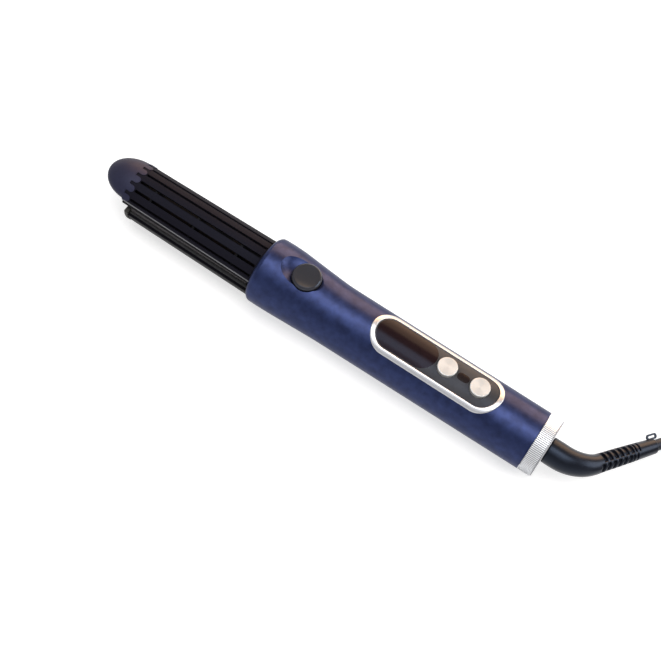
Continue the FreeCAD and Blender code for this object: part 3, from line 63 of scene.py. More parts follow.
# Boot sections: share of the straight run behind the bend, and radius in metres
BOOT_RUN_SECTIONS = ((0.0, 0.0060), (0.30, 0.0057), (0.587, 0.0054), (0.8, 0.0051), (1.0, 0.0048))

# Slots stand in rows round the boot, and their walls slope over an eighth of the width to each side. A slit has a
# share of a slot's width, and stands closer to the one before it by a share of the pitch
SLOT_ROWS = 4
SLOT_SOFTNESS = 8
SLIT_SHARE = 0.4
SLIT_CLOSER = 0.3

# The boot's end faces: inner edge at the base as a share of its radius, and at the tip as a share of the cord's
HUB_SHARE = 0.4
THROAT_SHARE = 0.9

# Turns of the coil above its two layers, and the part of a turn in which it climbs a layer
LAST_TURNS = 1.5
CLIMB_TURNS = 0.5

# Mesh steps along and round the pieces
BOOT_BEND_RINGS = 90
BOOT_RUN_RINGS = 300
BOOT_SIDES = 128
STRAP_STEPS = 160
STRAP_SIDES = 24
BEZEL_STEPS = 360
CROWN_STEPS = 21

# How square the bezel's crown is, and how sharply the strap turns from its sides into its corners
CROWN_POWER = 0.7
STRAP_SHARPNESS = 40

# Shares of the bezel's half width between which painted shade darkens its far outer wall, and how dark it gets
BEZEL_SHADE_SPAN = (0.91, 0.97)
BEZEL_SHADE_FACTOR = 0.3

# Values between which a noise pattern mostly lies
NOISE_LOW = 0.3
NOISE_HIGH = 0.7

# A finish's broad pattern is coarser than its grain by this factor; a grain has more detail than a broad pattern
BROAD_FACTOR = 12
FINE = {"detail": 6.0, "rough": 0.6}

# Depth of a full relief in metres, and the stretch of a grain that runs along the barrel
RELIEF_DEPTH = 0.0002
ALONG_BARREL = (0.1, 1, 1)

# Heights of a direction between which the white horizon fades to the ceiling
SKY_FADE = (0.05, 0.75)

# Gloss tints; those of rubber and of other black pieces take the warmth of the side lamp out
LACQUER_TINT = (0.6, 0.6, 0.66, 1.0)
RUBBER_GLOSS = {"Specular_IOR_Level": 0.3, "Specular_Tint": (0.55, 0.7, 1.0, 1.0)}
BLACK_TINT = (0.5, 0.68, 1.0, 1.0)

# Lamps: name, place and aim in metres, width, depth, tone, and whether matt surfaces are lit too
LAMPS = (
    ("key", (0.0, -0.08, 1.5), (0.0, -0.001, 0.0), 1.6, 0.8, (1.0, 0.98, 0.97), True),
    ("sheen", (0.0, -0.45, 1.5), (0.0, 0.0, 0.0), 1.7, 1.3, (0.94, 0.97, 1.0), False),
    ("side", (-0.2, 1.1, 0.6), (0.0, 0.0, 0.03), 1.5, 1.0, (1.0, 0.56, 0.26), False),
    ("tail", (1.1, 0.5, 0.7), (0.0, 0.0, 0.0), 0.9, 0.7, (1.0, 0.98, 0.97), True),
)


def length(label, text, default):
    """A length that a user may change, in metres."""
    return FloatProperty(name=label, description=text, default=default, min=0, precision=5, unit="LENGTH")


def degrees(label, text, default):
    """An angle that a user may change; its default is given in degrees."""
    return FloatProperty(name=label, description=text, default=math.radians(default), subtype="ANGLE")


def count(label, text, default, low):
    """A number of things that a user may change."""
    return IntProperty(name=label, description=text, default=default, min=low)


def strength(label, text, default, unit="NONE"):
    """A brightness, or a power in watts, that a user may change."""
    return FloatProperty(name=label, description=text, default=default, min=0, unit=unit)


def triple(label, text, default, subtype):
    """A place or direction that a user may change."""
    return FloatVectorProperty(name=label, description=text, default=default, subtype=subtype)


def colour(label, text, default):
    """A finish colour that a user may change."""
    return FloatVectorProperty(name=label, description=text, default=default, size=3, min=0, max=1, subtype="COLOR")


class StraightenerSizes(bpy.types.PropertyGroup):
    """Sizes of the pieces that are made here; they match the solids, but for the bezel, which is drawn lower."""

    axis_height: length("Axis height", "Height of the body's axis above the table", 0.020)
    tail_end: length("Tail end", "Place of the tail's rear face along X", 0.1605)
    handle_front: length("Handle front", "Place where the handle's taper begins", 0.0105)
    handle_rear: length("Handle rear", "Place where the handle's taper ends", 0.1514)
    handle_front_radius: length("Handle front radius", "Radius where the taper begins", 0.020)
    handle_rear_radius: length("Handle rear radius", "Radius where the taper ends", 0.0194)
    panel_start: length("Panel start", "Front end of the bezel", 0.0340)
    panel_length: length("Panel length", "Length of the bezel", 0.090)
    panel_width: length("Panel width", "Width of the bezel", 0.0272)
    bezel_band: length("Bezel band", "Width of the silver band", 0.0030)
    bezel_proud: length("Bezel height", "Height of the band's crown above the handle", 0.0005)
    bezel_depth: length("Bezel depth", "Depth of the band's sides below the handle", 0.0018)
    # Heights of the painted highlight on the barrel's rounded lower lip
    lip_highlight_low: length("Lip", "Height above the axis up to which the barrel is pale", 0.0078)
    lip_highlight_high: length("Lip end", "Height above the axis from which the barrel is dark", 0.0088)
    # Depths below the button's top of the painted shade on its side
    button_side_shade: length("Button side", "Depth below the button's top from which its side is dark", 0.0030)
    button_shade_start: length("Button rim", "Depth below the button's top from which its side darkens", 0.0012)
    rib_count: count("Ribs", "Ribs round the intake ring", 104, 12)
    boot_straight: length("Boot straight", "Straight length at the boot's base", 0.008)
    boot_curve_radius: length("Boot bend radius", "Radius of the boot's bend", 0.025)
    boot_run: length("Boot run", "Straight length behind the bend", 0.045)
    boot_base_radius: length("Boot base radius", "Radius at the base", 0.0085)
    boot_bend_radius: length("Boot mid radius", "Radius half way round the bend", 0.0075)
    boot_edge: length("Boot edge", "Radius of the rounded edges at both ends", 0.0005)
    boot_turn: degrees("Boot turn", "Turn of the bend", 58)
    boot_fall: degrees("Boot fall", "Fall of the bend's plane", 15.8)
    slot_count: count("Slots", "Flex slots in a row", 6, 1)
    slit_count: count("Slits", "Narrow slits behind the slots of a row", 2, 0)
    slot_start: length("First slot", "First slot behind the bend", 0.0006)
    slot_pitch: length("Slot pitch", "Step from slot to slot", 0.0043)
    slot_width: length("Slot width", "Width of a slot along the boot", 0.0025)
    slot_roll: degrees("Slot roll", "Turn of the rows round the boot", 19)
    slot_reach: degrees("Slot reach", "Reach of a slot to each side of its middle", 42)
    slot_fade: degrees("Slot fade", "Part of the reach in which a slot runs out", 7)
    cord_radius: length("Cord radius", "Radius of the cord", 0.0036)
    lead_first_run: length("First run", "Straight cord out of the boot", 0.009)
    cord_length: length("Cord length", "Real length of the cord", 1.8)
    coil_mean_radius: length("Coil radius", "Radius at the middle of the turns", 0.039)
    coil_pitch: length("Coil pitch", "Step between turns and layers", 0.0079)
    coil_layer_turns: FloatProperty(name="Turns", description="Turns in one layer", default=2.5, min=0.5)
    coil_points: count("Coil points", "Control points in one turn", 20, 12)
    tie_thickness: length("Tie thickness", "Thickness of the strap", 0.0008)
    tie_width: length("Tie width", "Width of the strap", 0.012)
    tie_gap: length("Tie gap", "Clearance between strap and turns", 0.0003)
    plug_thickness: length("Plug thickness", "Thickness of the plug's body", 0.0136)
    plug_lift: length("Plug lift", "Clearance of the plug above the turns", 0.0016)
    plug_back: degrees("Plug back", "Turn by which the coil stops short of its last half turn", 2.2)


class StraightenerColours(bpy.types.PropertyGroup):
    """Colours of the finishes."""

    navy: colour("Navy", "Lacquer of the handle", (0.0110, 0.0175, 0.060))
    navy_flake: colour("Navy flake", "Flake in the lacquer", (0.0205, 0.032, 0.102))
    nose: colour("Nose", "Soft coat of the nose cap", (0.018, 0.019, 0.044))
    tip: colour("Tip", "Soft coat of the lower tip", (0.026, 0.025, 0.022))
    barrel: colour("Barrel", "Polished barrel", (0.0112, 0.0104, 0.0155))
    # Pale grey painted as the highlight on the barrel's lower lip
    lip: colour("Lip", "Rounded lower lip of the upper barrel", (0.34, 0.34, 0.36))
    button: colour("Button", "Thumb button", (0.034, 0.031, 0.033))
    # Near-black painted as shade on the button's side
    button_side_shade: colour("Button side", "Side of the thumb button", (0.004, 0.004, 0.006))
    plate: colour("Plate", "Coated plates", (0.060, 0.055, 0.058))
    silver: colour("Silver", "Bezel", (0.52, 0.52, 0.545))
    ring: colour("Ring", "Ribbed ring", (0.92, 0.93, 0.95))
    # Darker grey painted as shade in the valleys between the ribs
    ring_valley_shade: colour("Ring valley", "Valleys between the ribs", (0.34, 0.35, 0.38))
    smoke: colour("Smoke", "Smoked panel", (0.046, 0.043, 0.044))
    display: colour("Display", "Display window", (0.012, 0.005, 0.005))
    key: colour("Key", "Spun keys", (0.60, 0.60, 0.59))
    rubber: colour("Rubber", "Boot and plug", (0.004, 0.004, 0.006))
    cord: colour("Cord", "Cord sheath", (0.012, 0.012, 0.014))
    cap: colour("Cap", "Satin end cap", (0.52, 0.52, 0.55))
    board: colour("Board", "Circuit boards", (0.015, 0.090, 0.040))
    steel: colour("Steel", "Pins, screws and spring", (0.55, 0.55, 0.57))
    moulding: colour("Moulding", "Inner mouldings", (0.022, 0.022, 0.024))
    nickel: colour("Nickel", "Plug pins", (0.7, 0.68, 0.64))
    nickel_dark: colour("Dark nickel", "Darker tone of the plug pins", (0.6, 0.58, 0.55))
    ceramic: colour("Ceramic", "Heaters", (0.7, 0.68, 0.62))
    ceramic_dark: colour("Dark ceramic", "Darker tone of the heaters", (0.62, 0.6, 0.54))


class StraightenerStage(bpy.types.PropertyGroup):
    """Camera, lamps and floor."""

    camera_place: triple("Camera", "Camera's place", (0.1512, -0.37964, 0.74073), "TRANSLATION")
    camera_forward: triple("Forward", "Viewing direction", (-0.16849, 0.44903, -0.87748), "DIRECTION")
    camera_right: triple("Right", "Direction of the picture's right", (0.83208, 0.54204, 0.1176), "DIRECTION")
    lens: FloatProperty(name="Lens", description="Focal length in millimetres", default=73.5, min=1)
    sensor: FloatProperty(name="Sensor", description="Sensor width in millimetres", default=36.0, min=1)
    floor_size: length("Floor size", "Side of the floor", 8.0)
    floor_drop: length("Floor drop", "Gap between the floor and the part", 0.0002)
    floor: colour("Floor", "Pale floor", (0.62, 0.62, 0.62))
    floor_glow: strength("Floor glow", "Brightening of the floor for lens and mirrors", 0.62)
    sky: strength("Sky", "Light from all round", 0.50)
    ceiling: strength("Ceiling", "Brightness straight above for lens and mirrors", 0.40)
    key_power: strength("Key lamp", "Power of the key lamp", 13.0, "POWER")
    side_power: strength("Side lamp", "Power of the warm side lamp", 25.0, "POWER")
    sheen_power: strength("Sheen lamp", "Power of the lamp that only gloss reflects", 12.0, "POWER")
    tail_power: strength("Tail lamp", "Power of the lamp behind the tail", 9.0, "POWER")


def sizes():
    """The sizes in use."""
    return bpy.context.scene.straightener_sizes


def colours():
    """The colours in use."""
    return bpy.context.scene.straightener_colours


# Surfaces from arrays


def grid_faces(rows, columns, wrap_rows=False, wrap_columns=False):
    """Quads of a grid of points: each joins a point to its right, diagonal and lower neighbours."""
    row = np.arange(rows if wrap_rows else rows - 1)
    column = np.arange(columns if wrap_columns else columns - 1)
    row, column = np.meshgrid(row, column, indexing="ij")
    next_row = (row + 1) % rows
    next_column = (column + 1) % columns
    corners = (row * columns + column, row * columns + next_column,
               next_row * columns + next_column, next_row * columns + column)
    return np.stack(corners, axis=-1).reshape(-1, 4)


def make_piece(name, points, faces, material):
    """Put a grid of points and its quads into a smooth mesh object at the origin."""
    mesh = bpy.data.meshes.new(name)
    mesh.from_pydata(points.reshape(-1, 3).tolist(), [], faces.tolist())
    mesh.polygons.foreach_set("use_smooth", np.ones(len(faces), dtype=bool))
    mesh.materials.append(material)
    mesh.update()
    piece = bpy.data.objects.new(name, mesh)
    bpy.context.scene.collection.objects.link(piece)
    return piece


def smooth_step(value):
    """Ease from 0 to 1 with level ends: three squares less two cubes."""
    value = np.clip(value, 0.0, 1.0)
    return value * value * (3 - 2 * value)


def hermite(places, values, at):
    """Smooth curve through stations: a cubic in each span with the slope of its neighbours at both ends."""
    places = np.asarray(places)
    values = np.asarray(values)
    slopes = np.gradient(values, places)
    span = np.clip(np.searchsorted(places, at, side="right") - 1, 0, len(places) - 2)
    width = places[span + 1] - places[span]
    share = (at - places[span]) / width
    rise = smooth_step(share)
    start = share * (1 - share) ** 2 * width * slopes[span]
    end = share ** 2 * (share - 1) * width * slopes[span + 1]
    return values[span] * (1 - rise) + values[span + 1] * rise + start + end


def handle_radius(x):
    """Radius of the tapered handle at a place along X: a straight line between its two ends."""
    s = sizes()
    share = (x - s.handle_front) / (s.handle_rear - s.handle_front)
    return s.handle_front_radius + (s.handle_rear_radius - s.handle_front_radius) * share


# The boot's centre line and the cord's route


def boot_line(along):
    """Centre line of the boot at given lengths: straight, an arc in a falling plane, straight again.

    Returns points, directions, the side vectors in the bend's plane and the vector square to that plane.
    """
    s = sizes()
    side = np.array((0.0, math.cos(s.boot_fall), -math.sin(s.boot_fall)))
    ahead = np.array((1.0, 0.0, 0.0))
    start = np.array((s.tail_end + s.tie_gap, 0.0, s.axis_height))
    angle = np.clip((along - s.boot_straight) / s.boot_curve_radius, 0.0, s.boot_turn)[:, None]
    first = np.minimum(along, s.boot_straight)[:, None]
    last = np.maximum(along - s.boot_straight - s.boot_curve_radius * s.boot_turn, 0.0)[:, None]
    ways = ahead * np.cos(angle) + side * np.sin(angle)
    turned = s.boot_curve_radius * (ahead * np.sin(angle) + side * (1 - np.cos(angle)))
    points = start + ahead * first + turned + ways * last
    sides = side * np.cos(angle) - ahead * np.sin(angle)
    return points, ways, sides, np.cross(ahead, side)


def boot_length():
    """Length of the boot along its centre line."""
    s = sizes()
    return s.boot_straight + s.boot_curve_radius * s.boot_turn + s.boot_run


def boot_tip():
    """End point and direction of the boot."""
    points, ways, _, _ = boot_line(np.array([boot_length()]))
    return points[0], ways[0]


def lead_points():
    """Control points of the free lead, stepped from the boot's end."""
    tip, _ = boot_tip()
    return np.array(LEAD_ROUTE) + np.array((tip[0], tip[1], 0.0))


def coil_travel(turns):
    """Inward travel of the coil in pitches: steady in, a half-turn parabola, steady out, and in again on top."""
    layer = sizes().coil_layer_turns
    travel = np.zeros_like(turns)
    for i, sign in enumerate((1, -1, 1)):
        begin = i * (layer + CLIMB_TURNS)
        travel += sign * np.clip(turns - begin, 0.0, layer)
        bend = np.clip(turns - begin - layer, 0.0, CLIMB_TURNS) * (i < 2)
        travel += sign * (bend - bend * bend / CLIMB_TURNS)
    return travel


def coil_frame():
    """Centre, first angle and outer radius of the coil, which begins where the lead ends."""
    s = sizes()
    before, last = lead_points()[-2:]
    way = last - before
    way = np.array((way[0], way[1], 0.0)) / math.hypot(way[0], way[1])
    low = s.cord_radius + s.tie_thickness + s.tie_gap
    start = np.array((last[0], last[1], low)) + way * 2 * s.cord_radius
    outer = s.coil_mean_radius + s.coil_layer_turns * s.coil_pitch / 2
    centre = start + np.array((way[1], -way[0], 0.0)) * outer
    return centre, math.atan2(start[1] - centre[1], start[0] - centre[0]), outer


def coil_points():
    """Points of the coil: a clockwise spiral in, a climb at each reversal, and a rise to the plug at its end."""
    s = sizes()
    centre, first, outer = coil_frame()
    layer = s.coil_layer_turns
    total = 2 * layer + LAST_TURNS - s.plug_back / (2 * np.pi)
    turns = np.linspace(0.0, total, int(round(total * s.coil_points)) + 1)
    radius = outer - s.coil_pitch * coil_travel(turns)
    climb = smooth_step((turns - layer) / CLIMB_TURNS)
    climb += smooth_step((turns - 2 * layer - CLIMB_TURNS) / CLIMB_TURNS)
    rise_from = 2 * layer + 2 * CLIMB_TURNS
    plug_rise = s.plug_thickness / 2 + s.plug_lift - s.cord_radius
    height = s.coil_pitch * climb + plug_rise * smooth_step((turns - rise_from) / (total - rise_from))
    angle = first - 2 * np.pi * turns
    points = centre + np.stack((radius * np.cos(angle), radius * np.sin(angle), height), axis=-1)
    way = points[-1] - points[-2]
    way[2] = 0.0
    end = points[-1] + way / np.linalg.norm(way) * 2 * s.cord_radius
    return np.vstack((points, end))


# Finishes


def new_material(name):
    """A node material and its shader."""
    material = bpy.data.materials.new(name)
    material.use_nodes = True
    return material, material.node_tree, material.node_tree.nodes["Principled BSDF"]


def object_coordinates(tree, scale=(1, 1, 1), offset=(0, 0, 0)):
    """Object coordinates through a mapping; returns the mapped vector's socket."""
    source = tree.nodes.new("ShaderNodeTexCoord")
    mapping = tree.nodes.new("ShaderNodeMapping")
    mapping.inputs["Location"].default_value = offset
    mapping.inputs["Scale"].default_value = scale
    tree.links.new(source.outputs["Object"], mapping.inputs["Vector"])
    return mapping.outputs["Vector"]


def axis_value(tree, vector, axis):
    """One part of a vector; returns the value."""
    parts = tree.nodes.new("ShaderNodeSeparateXYZ")
    tree.links.new(vector, parts.inputs["Vector"])
    return parts.outputs[axis]


def combine(tree, operation, first, second=None):
    """One sum on sockets or plain numbers; returns the value."""
    node = tree.nodes.new("ShaderNodeMath")
    node.operation = operation
    for socket, value in zip(node.inputs, (first, second)):
        if isinstance(value, bpy.types.NodeSocket):
            tree.links.new(value, socket)
        elif value is not None:
            socket.default_value = value
    return node.outputs["Value"]


def map_range(tree, value, source, target=(0.0, 1.0)):
    """A value carried from one range to another and held within it; returns the value."""
    limits = tree.nodes.new("ShaderNodeMapRange")
    for socket, limit in zip(("From Min", "From Max", "To Min", "To Max"), (*source, *target)):
        limits.inputs[socket].default_value = limit
    tree.links.new(value, limits.inputs["Value"])
    return limits.outputs["Result"]


def noise(tree, vector, scale, detail=4.0, rough=0.55):
    """A noise pattern; returns its factor."""
    pattern = tree.nodes.new("ShaderNodeTexNoise")
    pattern.inputs["Scale"].default_value = scale
    pattern.inputs["Detail"].default_value = detail
    pattern.inputs["Roughness"].default_value = rough
    tree.links.new(vector, pattern.inputs["Vector"])
    return pattern.outputs["Fac"]


def blend_colours(tree, factor, first, second, low=NOISE_LOW, high=NOISE_HIGH):
    """Two colours mixed by a pattern between two limits; returns the colour."""
    ramp = tree.nodes.new("ShaderNodeValToRGB")
    for stop, place, tone in zip(ramp.color_ramp.elements, (low, high), (first, second)):
        stop.position = place
        stop.color = (*tone, 1)
    tree.links.new(factor, ramp.inputs["Fac"])
    return ramp.outputs["Color"]


def set_sockets(shader, **values):
    """Plain values on a shader's sockets; an underscore in a name stands for a space."""
    for socket, value in values.items():
        shader.inputs[socket.replace("_", " ")].default_value = value


def surface(tree, shader, tone, grain, roughness, relief=None, depth=RELIEF_DEPTH, **sockets):
    """Give a shader its colour, an uneven gloss and a relief from a grain, and plain socket values."""
    tree.links.new(tone, shader.inputs["Base Color"])
    gloss = map_range(tree, grain, (NOISE_LOW, NOISE_HIGH), roughness)
    tree.links.new(gloss, shader.inputs["Roughness"])
    if relief is not None:
        bump = tree.nodes.new("ShaderNodeBump")
        bump.inputs["Strength"].default_value = relief
        bump.inputs["Distance"].default_value = depth
        tree.links.new(grain, bump.inputs["Height"])
        tree.links.new(bump.outputs["Normal"], shader.inputs["Normal"])
    set_sockets(shader, **sockets)


def finish(name, base, tint, roughness, grain, relief, stretch=(1, 1, 1), **sockets):
    """A moulded or metal finish: two tones, uneven gloss and a fine relief from noise on object coordinates.

    roughness holds the least and greatest; grain the noise scale per metre; sockets are plain shader values.
    """
    material, tree, shader = new_material(name)
    vector = object_coordinates(tree, stretch)
    tone = blend_colours(tree, noise(tree, vector, grain / BROAD_FACTOR), base, tint)
    surface(tree, shader, tone, noise(tree, vector, grain, **FINE), roughness, relief, **sockets)
    return material


def shade(base, factor):
    """A colour made lighter or darker by a factor."""
    return tuple(min(1.0, channel * factor) for channel in base)


def navy_lacquer():
    """Metallic navy lacquer with fine flake."""
    c = colours()
    return finish("navy_lacquer", c.navy, c.navy_flake, roughness=(0.35, 0.42), grain=2600, relief=0.02,
                  Metallic=0.85, Coat_Weight=0.15, Coat_Roughness=0.28, Specular_Tint=LACQUER_TINT)


def ring_silver():
    """Ribbed silver: the angle round the axis times the ribs gives painted shade in the valleys between pale crests.
    """
    s = sizes()
    c = colours()
    material, tree, shader = new_material("ring_silver")
    vector = object_coordinates(tree, offset=(0, 0, -s.axis_height))
    angle = combine(tree, "ARCTAN2", axis_value(tree, vector, "Y"), axis_value(tree, vector, "Z"))
    wave = combine(tree, "COSINE", combine(tree, "MULTIPLY", angle, s.rib_count))
    level = map_range(tree, wave, (-1.0, 1.0))
    # Painted shade in the valleys, by the angle round the axis
    tone = blend_colours(tree, level, c.ring_valley_shade, c.ring, low=0.15, high=0.6)
    surface(tree, shader, tone, noise(tree, vector, 2400), roughness=(0.26, 0.34), Metallic=0.25)
    return material


def barrel_gloss():
    """Near-black barrel with a painted highlight on its rounded lower lip: paler below a height."""
    s = sizes()
    c = colours()
    material, tree, shader = new_material("barrel_gloss")
    height = axis_value(tree, object_coordinates(tree), "Z")
    level = map_range(tree, height, (s.axis_height + s.lip_highlight_low, s.axis_height + s.lip_highlight_high))
    # Painted highlight: the lower lip takes the pale colour by height
    tone = blend_colours(tree, level, c.lip, c.barrel, low=0.0, high=1.0)
    grain = noise(tree, object_coordinates(tree, ALONG_BARREL), 900, **FINE)
    surface(tree, shader, tone, grain, roughness=(0.42, 0.50), Specular_IOR_Level=0.03, Specular_Tint=BLACK_TINT)
    return material


def bezel_silver():
    """Satin silver with painted shade on the outer wall of its far side."""
    c = colours()
    material, tree, shader = new_material("bezel_silver")
    vector = object_coordinates(tree)
    level = map_range(tree, axis_value(tree, vector, "Y"), (0.0, sizes().panel_width / 2))
    # Painted shade: the far outer wall darkens by its place across the handle
    tone = blend_colours(tree, level, c.silver, shade(c.silver, BEZEL_SHADE_FACTOR), *BEZEL_SHADE_SPAN)
    surface(tree, shader, tone, noise(tree, vector, 1800, **FINE), roughness=(0.30, 0.38), Metallic=0.9)
    return material


def button_satin():
    """Satin button with painted shade on its side below the rounded rim, by height."""
    s = sizes()
    c = colours()
    _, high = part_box("clamp_button")
    material, tree, shader = new_material("button_satin")
    vector = object_coordinates(tree)
    level = map_range(tree, axis_value(tree, vector, "Z"), (high[2] - s.button_side_shade, high[2] - s.button_shade_start))
    # Painted shade: the side below the rim takes the near-black by height
    tone = blend_colours(tree, level, c.button_side_shade, c.button, low=0.0, high=1.0)
    surface(tree, shader, tone, noise(tree, vector, 5000, **FINE), roughness=(0.13, 0.18), relief=0.04,
            Specular_IOR_Level=0.35, Specular_Tint=BLACK_TINT)
    return material


def key_metal(name, x):
    """Spun metal: fine rings round the key's own axis, from a ring wave about Z."""
    base = tuple(colours().key)
    material, tree, shader = new_material(name)
    wave = tree.nodes.new("ShaderNodeTexWave")
    wave.wave_type = "RINGS"
    wave.rings_direction = "Z"
    set_sockets(wave, Scale=700, Distortion=1.5, Detail=2)
    vector = object_coordinates(tree, offset=(-x, 0, -sizes().axis_height))
    tree.links.new(vector, wave.inputs["Vector"])
    rings = wave.outputs["Fac"]
    tone = blend_colours(tree, rings, shade(base, 0.82), base)
    surface(tree, shader, tone, rings, roughness=(0.36, 0.46), relief=0.12, depth=RELIEF_DEPTH / 2,
            Metallic=0.35, Anisotropic=0.6)
    return material


def dress(material, *nodes):
    """Give carried-over solids their finish."""
    for name in nodes:
        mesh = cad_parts[name].data
        mesh.materials.clear()
        mesh.materials.append(material)


class STRAIGHTENER_OT_stage(bpy.types.Operator):
    """Set up the camera, the pale floor, the lamps and the white surroundings"""

    bl_idname = "straightener.stage"
    bl_label = "Stage"

    def execute(self, context):
        stage = context.scene.straightener_stage
        self.camera(context, stage)
        self.floor(context, stage)
        self.lamps(context, stage)
        self.sky(context, stage)
        context.scene.view_settings.view_transform = "Standard"
        return {"FINISHED"}

    def camera(self, context, stage):
        """A camera whose axes come from its viewing direction and the picture's right."""
        forward = Vector(stage.camera_forward).normalized()
        right = Vector(stage.camera_right)
        right = (right - forward * right.dot(forward)).normalized()
        up = right.cross(forward)
        lens = bpy.data.cameras.new("studio_camera")
        lens.lens = stage.lens
        lens.sensor_width = stage.sensor
        lens.clip_end = 50
        camera = bpy.data.objects.new("studio_camera", lens)
        turn = Matrix((right, up, -forward)).transposed().to_4x4()
        camera.matrix_world = Matrix.Translation(Vector(stage.camera_place)) @ turn
        context.scene.collection.objects.link(camera)
        context.scene.camera = camera

    def floor(self, context, stage):
        """A flat pale floor that brightens to white where the camera and mirrors see it and keeps its shadow."""
        half = stage.floor_size / 2
        points = np.array(((-half, -half, 0), (half, -half, 0), (half, half, 0), (-half, half, 0)))
        material, tree, shader = new_material("pale_floor")
        vector = object_coordinates(tree)
        base = tuple(stage.floor)
        tone = blend_colours(tree, noise(tree, vector, 3.0), shade(base, 0.985), base)
        tree.links.new(tone, shader.inputs["Base Color"])
        set_sockets(shader, Roughness=0.9, Specular_IOR_Level=0.0, Emission_Color=(1, 1, 1, 1))
        glow = combine(tree, "MULTIPLY", seen_by_lens_or_mirror(tree), stage.floor_glow)
        tree.links.new(glow, shader.inputs["Emission Strength"])
        floor = make_piece("floor", points, np.array(((0, 1, 2, 3),)), material)
        floor.location.z = -stage.floor_drop

    def lamps(self, context, stage):
        """A long key above the handle, one past the tail, and two that only gloss reflects."""
        for name, place, aim, width, depth, tone, lights in LAMPS:
            lamp = bpy.data.lights.new(name + "_lamp", "AREA")
            lamp.shape = "RECTANGLE"
            lamp.size = width
            lamp.size_y = depth
            lamp.energy = getattr(stage, name + "_power")
            lamp.color = tone
            holder = bpy.data.objects.new(name + "_lamp", lamp)
            holder.location = place
            holder.visible_diffuse = lights
            holder.rotation_euler = (Vector(aim) - Vector(place)).to_track_quat("-Z", "Y").to_euler()
            context.scene.collection.objects.link(holder)

    def sky(self, context, stage):
        """Even light from all round; camera and mirrors see a white horizon that darkens towards the ceiling."""
        world = bpy.data.worlds.new("studio_sky")
        world.use_nodes = True
        tree = world.node_tree
        background = tree.nodes["Background"]
        background.inputs["Color"].default_value = (1, 1, 1, 1)
        direction = tree.nodes.new("ShaderNodeTexCoord")
        height = axis_value(tree, direction.outputs["Generated"], "Z")
        dome = map_range(tree, height, SKY_FADE, (1.0, stage.ceiling))
        dome.node.interpolation_type = "SMOOTHSTEP"
        level = map_range(tree, seen_by_lens_or_mirror(tree), (0.0, 1.0), (stage.sky, 1.0))
        tree.links.new(dome, level.node.inputs["To Max"])
        tree.links.new(level, background.inputs["Strength"])
        context.scene.world = world


def seen_by_lens_or_mirror(tree):
    """1 for camera, glossy and transmission rays, and 0 for the light that falls on surfaces."""
    path = tree.nodes.new("ShaderNodeLightPath")
    seen = path.outputs["Is Camera Ray"]
    for ray in ("Is Glossy Ray", "Is Transmission Ray"):
        seen = combine(tree, "MAXIMUM", seen, path.outputs[ray])
    return seen


class STRAIGHTENER_OT_boot(bpy.types.Operator):
    """Make the rubber boot with its flex slots"""

    bl_idname = "straightener.boot"
    bl_label = "Boot"

    def execute(self, context):
        """Rings of r(along, angle) on the centre line; r falls to the cord's radius inside each slot."""
        s = sizes()
        c = colours()
        whole = boot_length()
        run = whole - s.boot_run
        stations = [0.0, s.boot_straight, s.boot_straight + s.boot_curve_radius * s.boot_turn / 2]
        radii = [s.boot_base_radius, s.boot_base_radius, s.boot_bend_radius]
        stations += [run + share * s.boot_run for share, _ in BOOT_RUN_SECTIONS]
        radii += [radius for _, radius in BOOT_RUN_SECTIONS]
        bend_rings = np.linspace(0, run, BOOT_BEND_RINGS, endpoint=False)
        along = np.concatenate((bend_rings, np.linspace(run, whole, BOOT_RUN_RINGS)))
        angle = np.linspace(0, 2 * np.pi, BOOT_SIDES, endpoint=False)
        outer = hermite(stations, radii, along)[:, None]
        points, ways, sides, square = boot_line(along)
        level = np.cross(ways[-1], (0.0, 0.0, 1.0))
        level /= np.linalg.norm(level)
        across = level * math.cos(s.slot_roll) + np.cross(level, ways[-1]) * math.sin(s.slot_roll)
        first_row = math.atan2(across @ square, across @ sides[-1])
        radius = outer + (s.cord_radius + s.tie_gap - outer) * self.slots(along - run, angle - first_row)
        radius -= (self.rounding(along) + self.rounding(whole - along))[:, None]
        outward = np.cos(angle)[None, :, None] * sides[:, None, :] + np.sin(angle)[None, :, None] * square
        centre = points[:, None, :]
        grid = centre + radius[..., None] * outward
        throat_share = THROAT_SHARE * s.cord_radius / radii[-1]
        hub = centre[:1] + (grid[:1] - centre[:1]) * HUB_SHARE
        throat = centre[-1:] + (grid[-1:] - centre[-1:]) * throat_share
        grid = np.concatenate((hub, grid, throat))
        faces = grid_faces(len(grid), len(angle), wrap_columns=True)[:, ::-1]
        rubber = finish("boot_rubber", c.rubber, shade(c.rubber, 1.5), roughness=(0.26, 0.34), grain=5000,
                        relief=0.08, **RUBBER_GLOSS)
        boot = make_piece("boot", grid, faces, rubber)
        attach(boot, "cord_set")
        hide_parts("strain_relief")
        dress(rubber, "hang_loop")
        return {"FINISHED"}

    def slots(self, along, angle):
        """1 inside a slot and 0 outside, for places behind the bend and angles from the middle of the first row."""
        s = sizes()
        soft = s.slot_width / SLOT_SOFTNESS
        cut = np.zeros((len(along), len(angle)))
        for row in range(SLOT_ROWS):
            offset = np.abs((angle - row * 2 * np.pi / SLOT_ROWS + np.pi) % (2 * np.pi) - np.pi)
            reach = smooth_step((s.slot_reach - offset) / s.slot_fade)
            lean = 0.5 * (row % 2)
            for i in range(s.slot_count + s.slit_count):
                late = max(i - s.slot_count + 1, 0)
                middle = s.slot_start + (i + lean - late * SLIT_CLOSER) * s.slot_pitch
                half = s.slot_width / 2 * (SLIT_SHARE if late else 1)
                inside = smooth_step((half + soft - np.abs(along - middle)) / (2 * soft))
                cut = np.maximum(cut, inside[:, None] * reach[None, :])
        return cut

    def rounding(self, distance):
        """Loss of radius near an end: a quarter circle of the edge's radius."""
        edge = sizes().boot_edge
        short = 1 - np.clip(distance / edge, 0, 1)
        return edge * (1 - np.sqrt(1 - short ** 2))


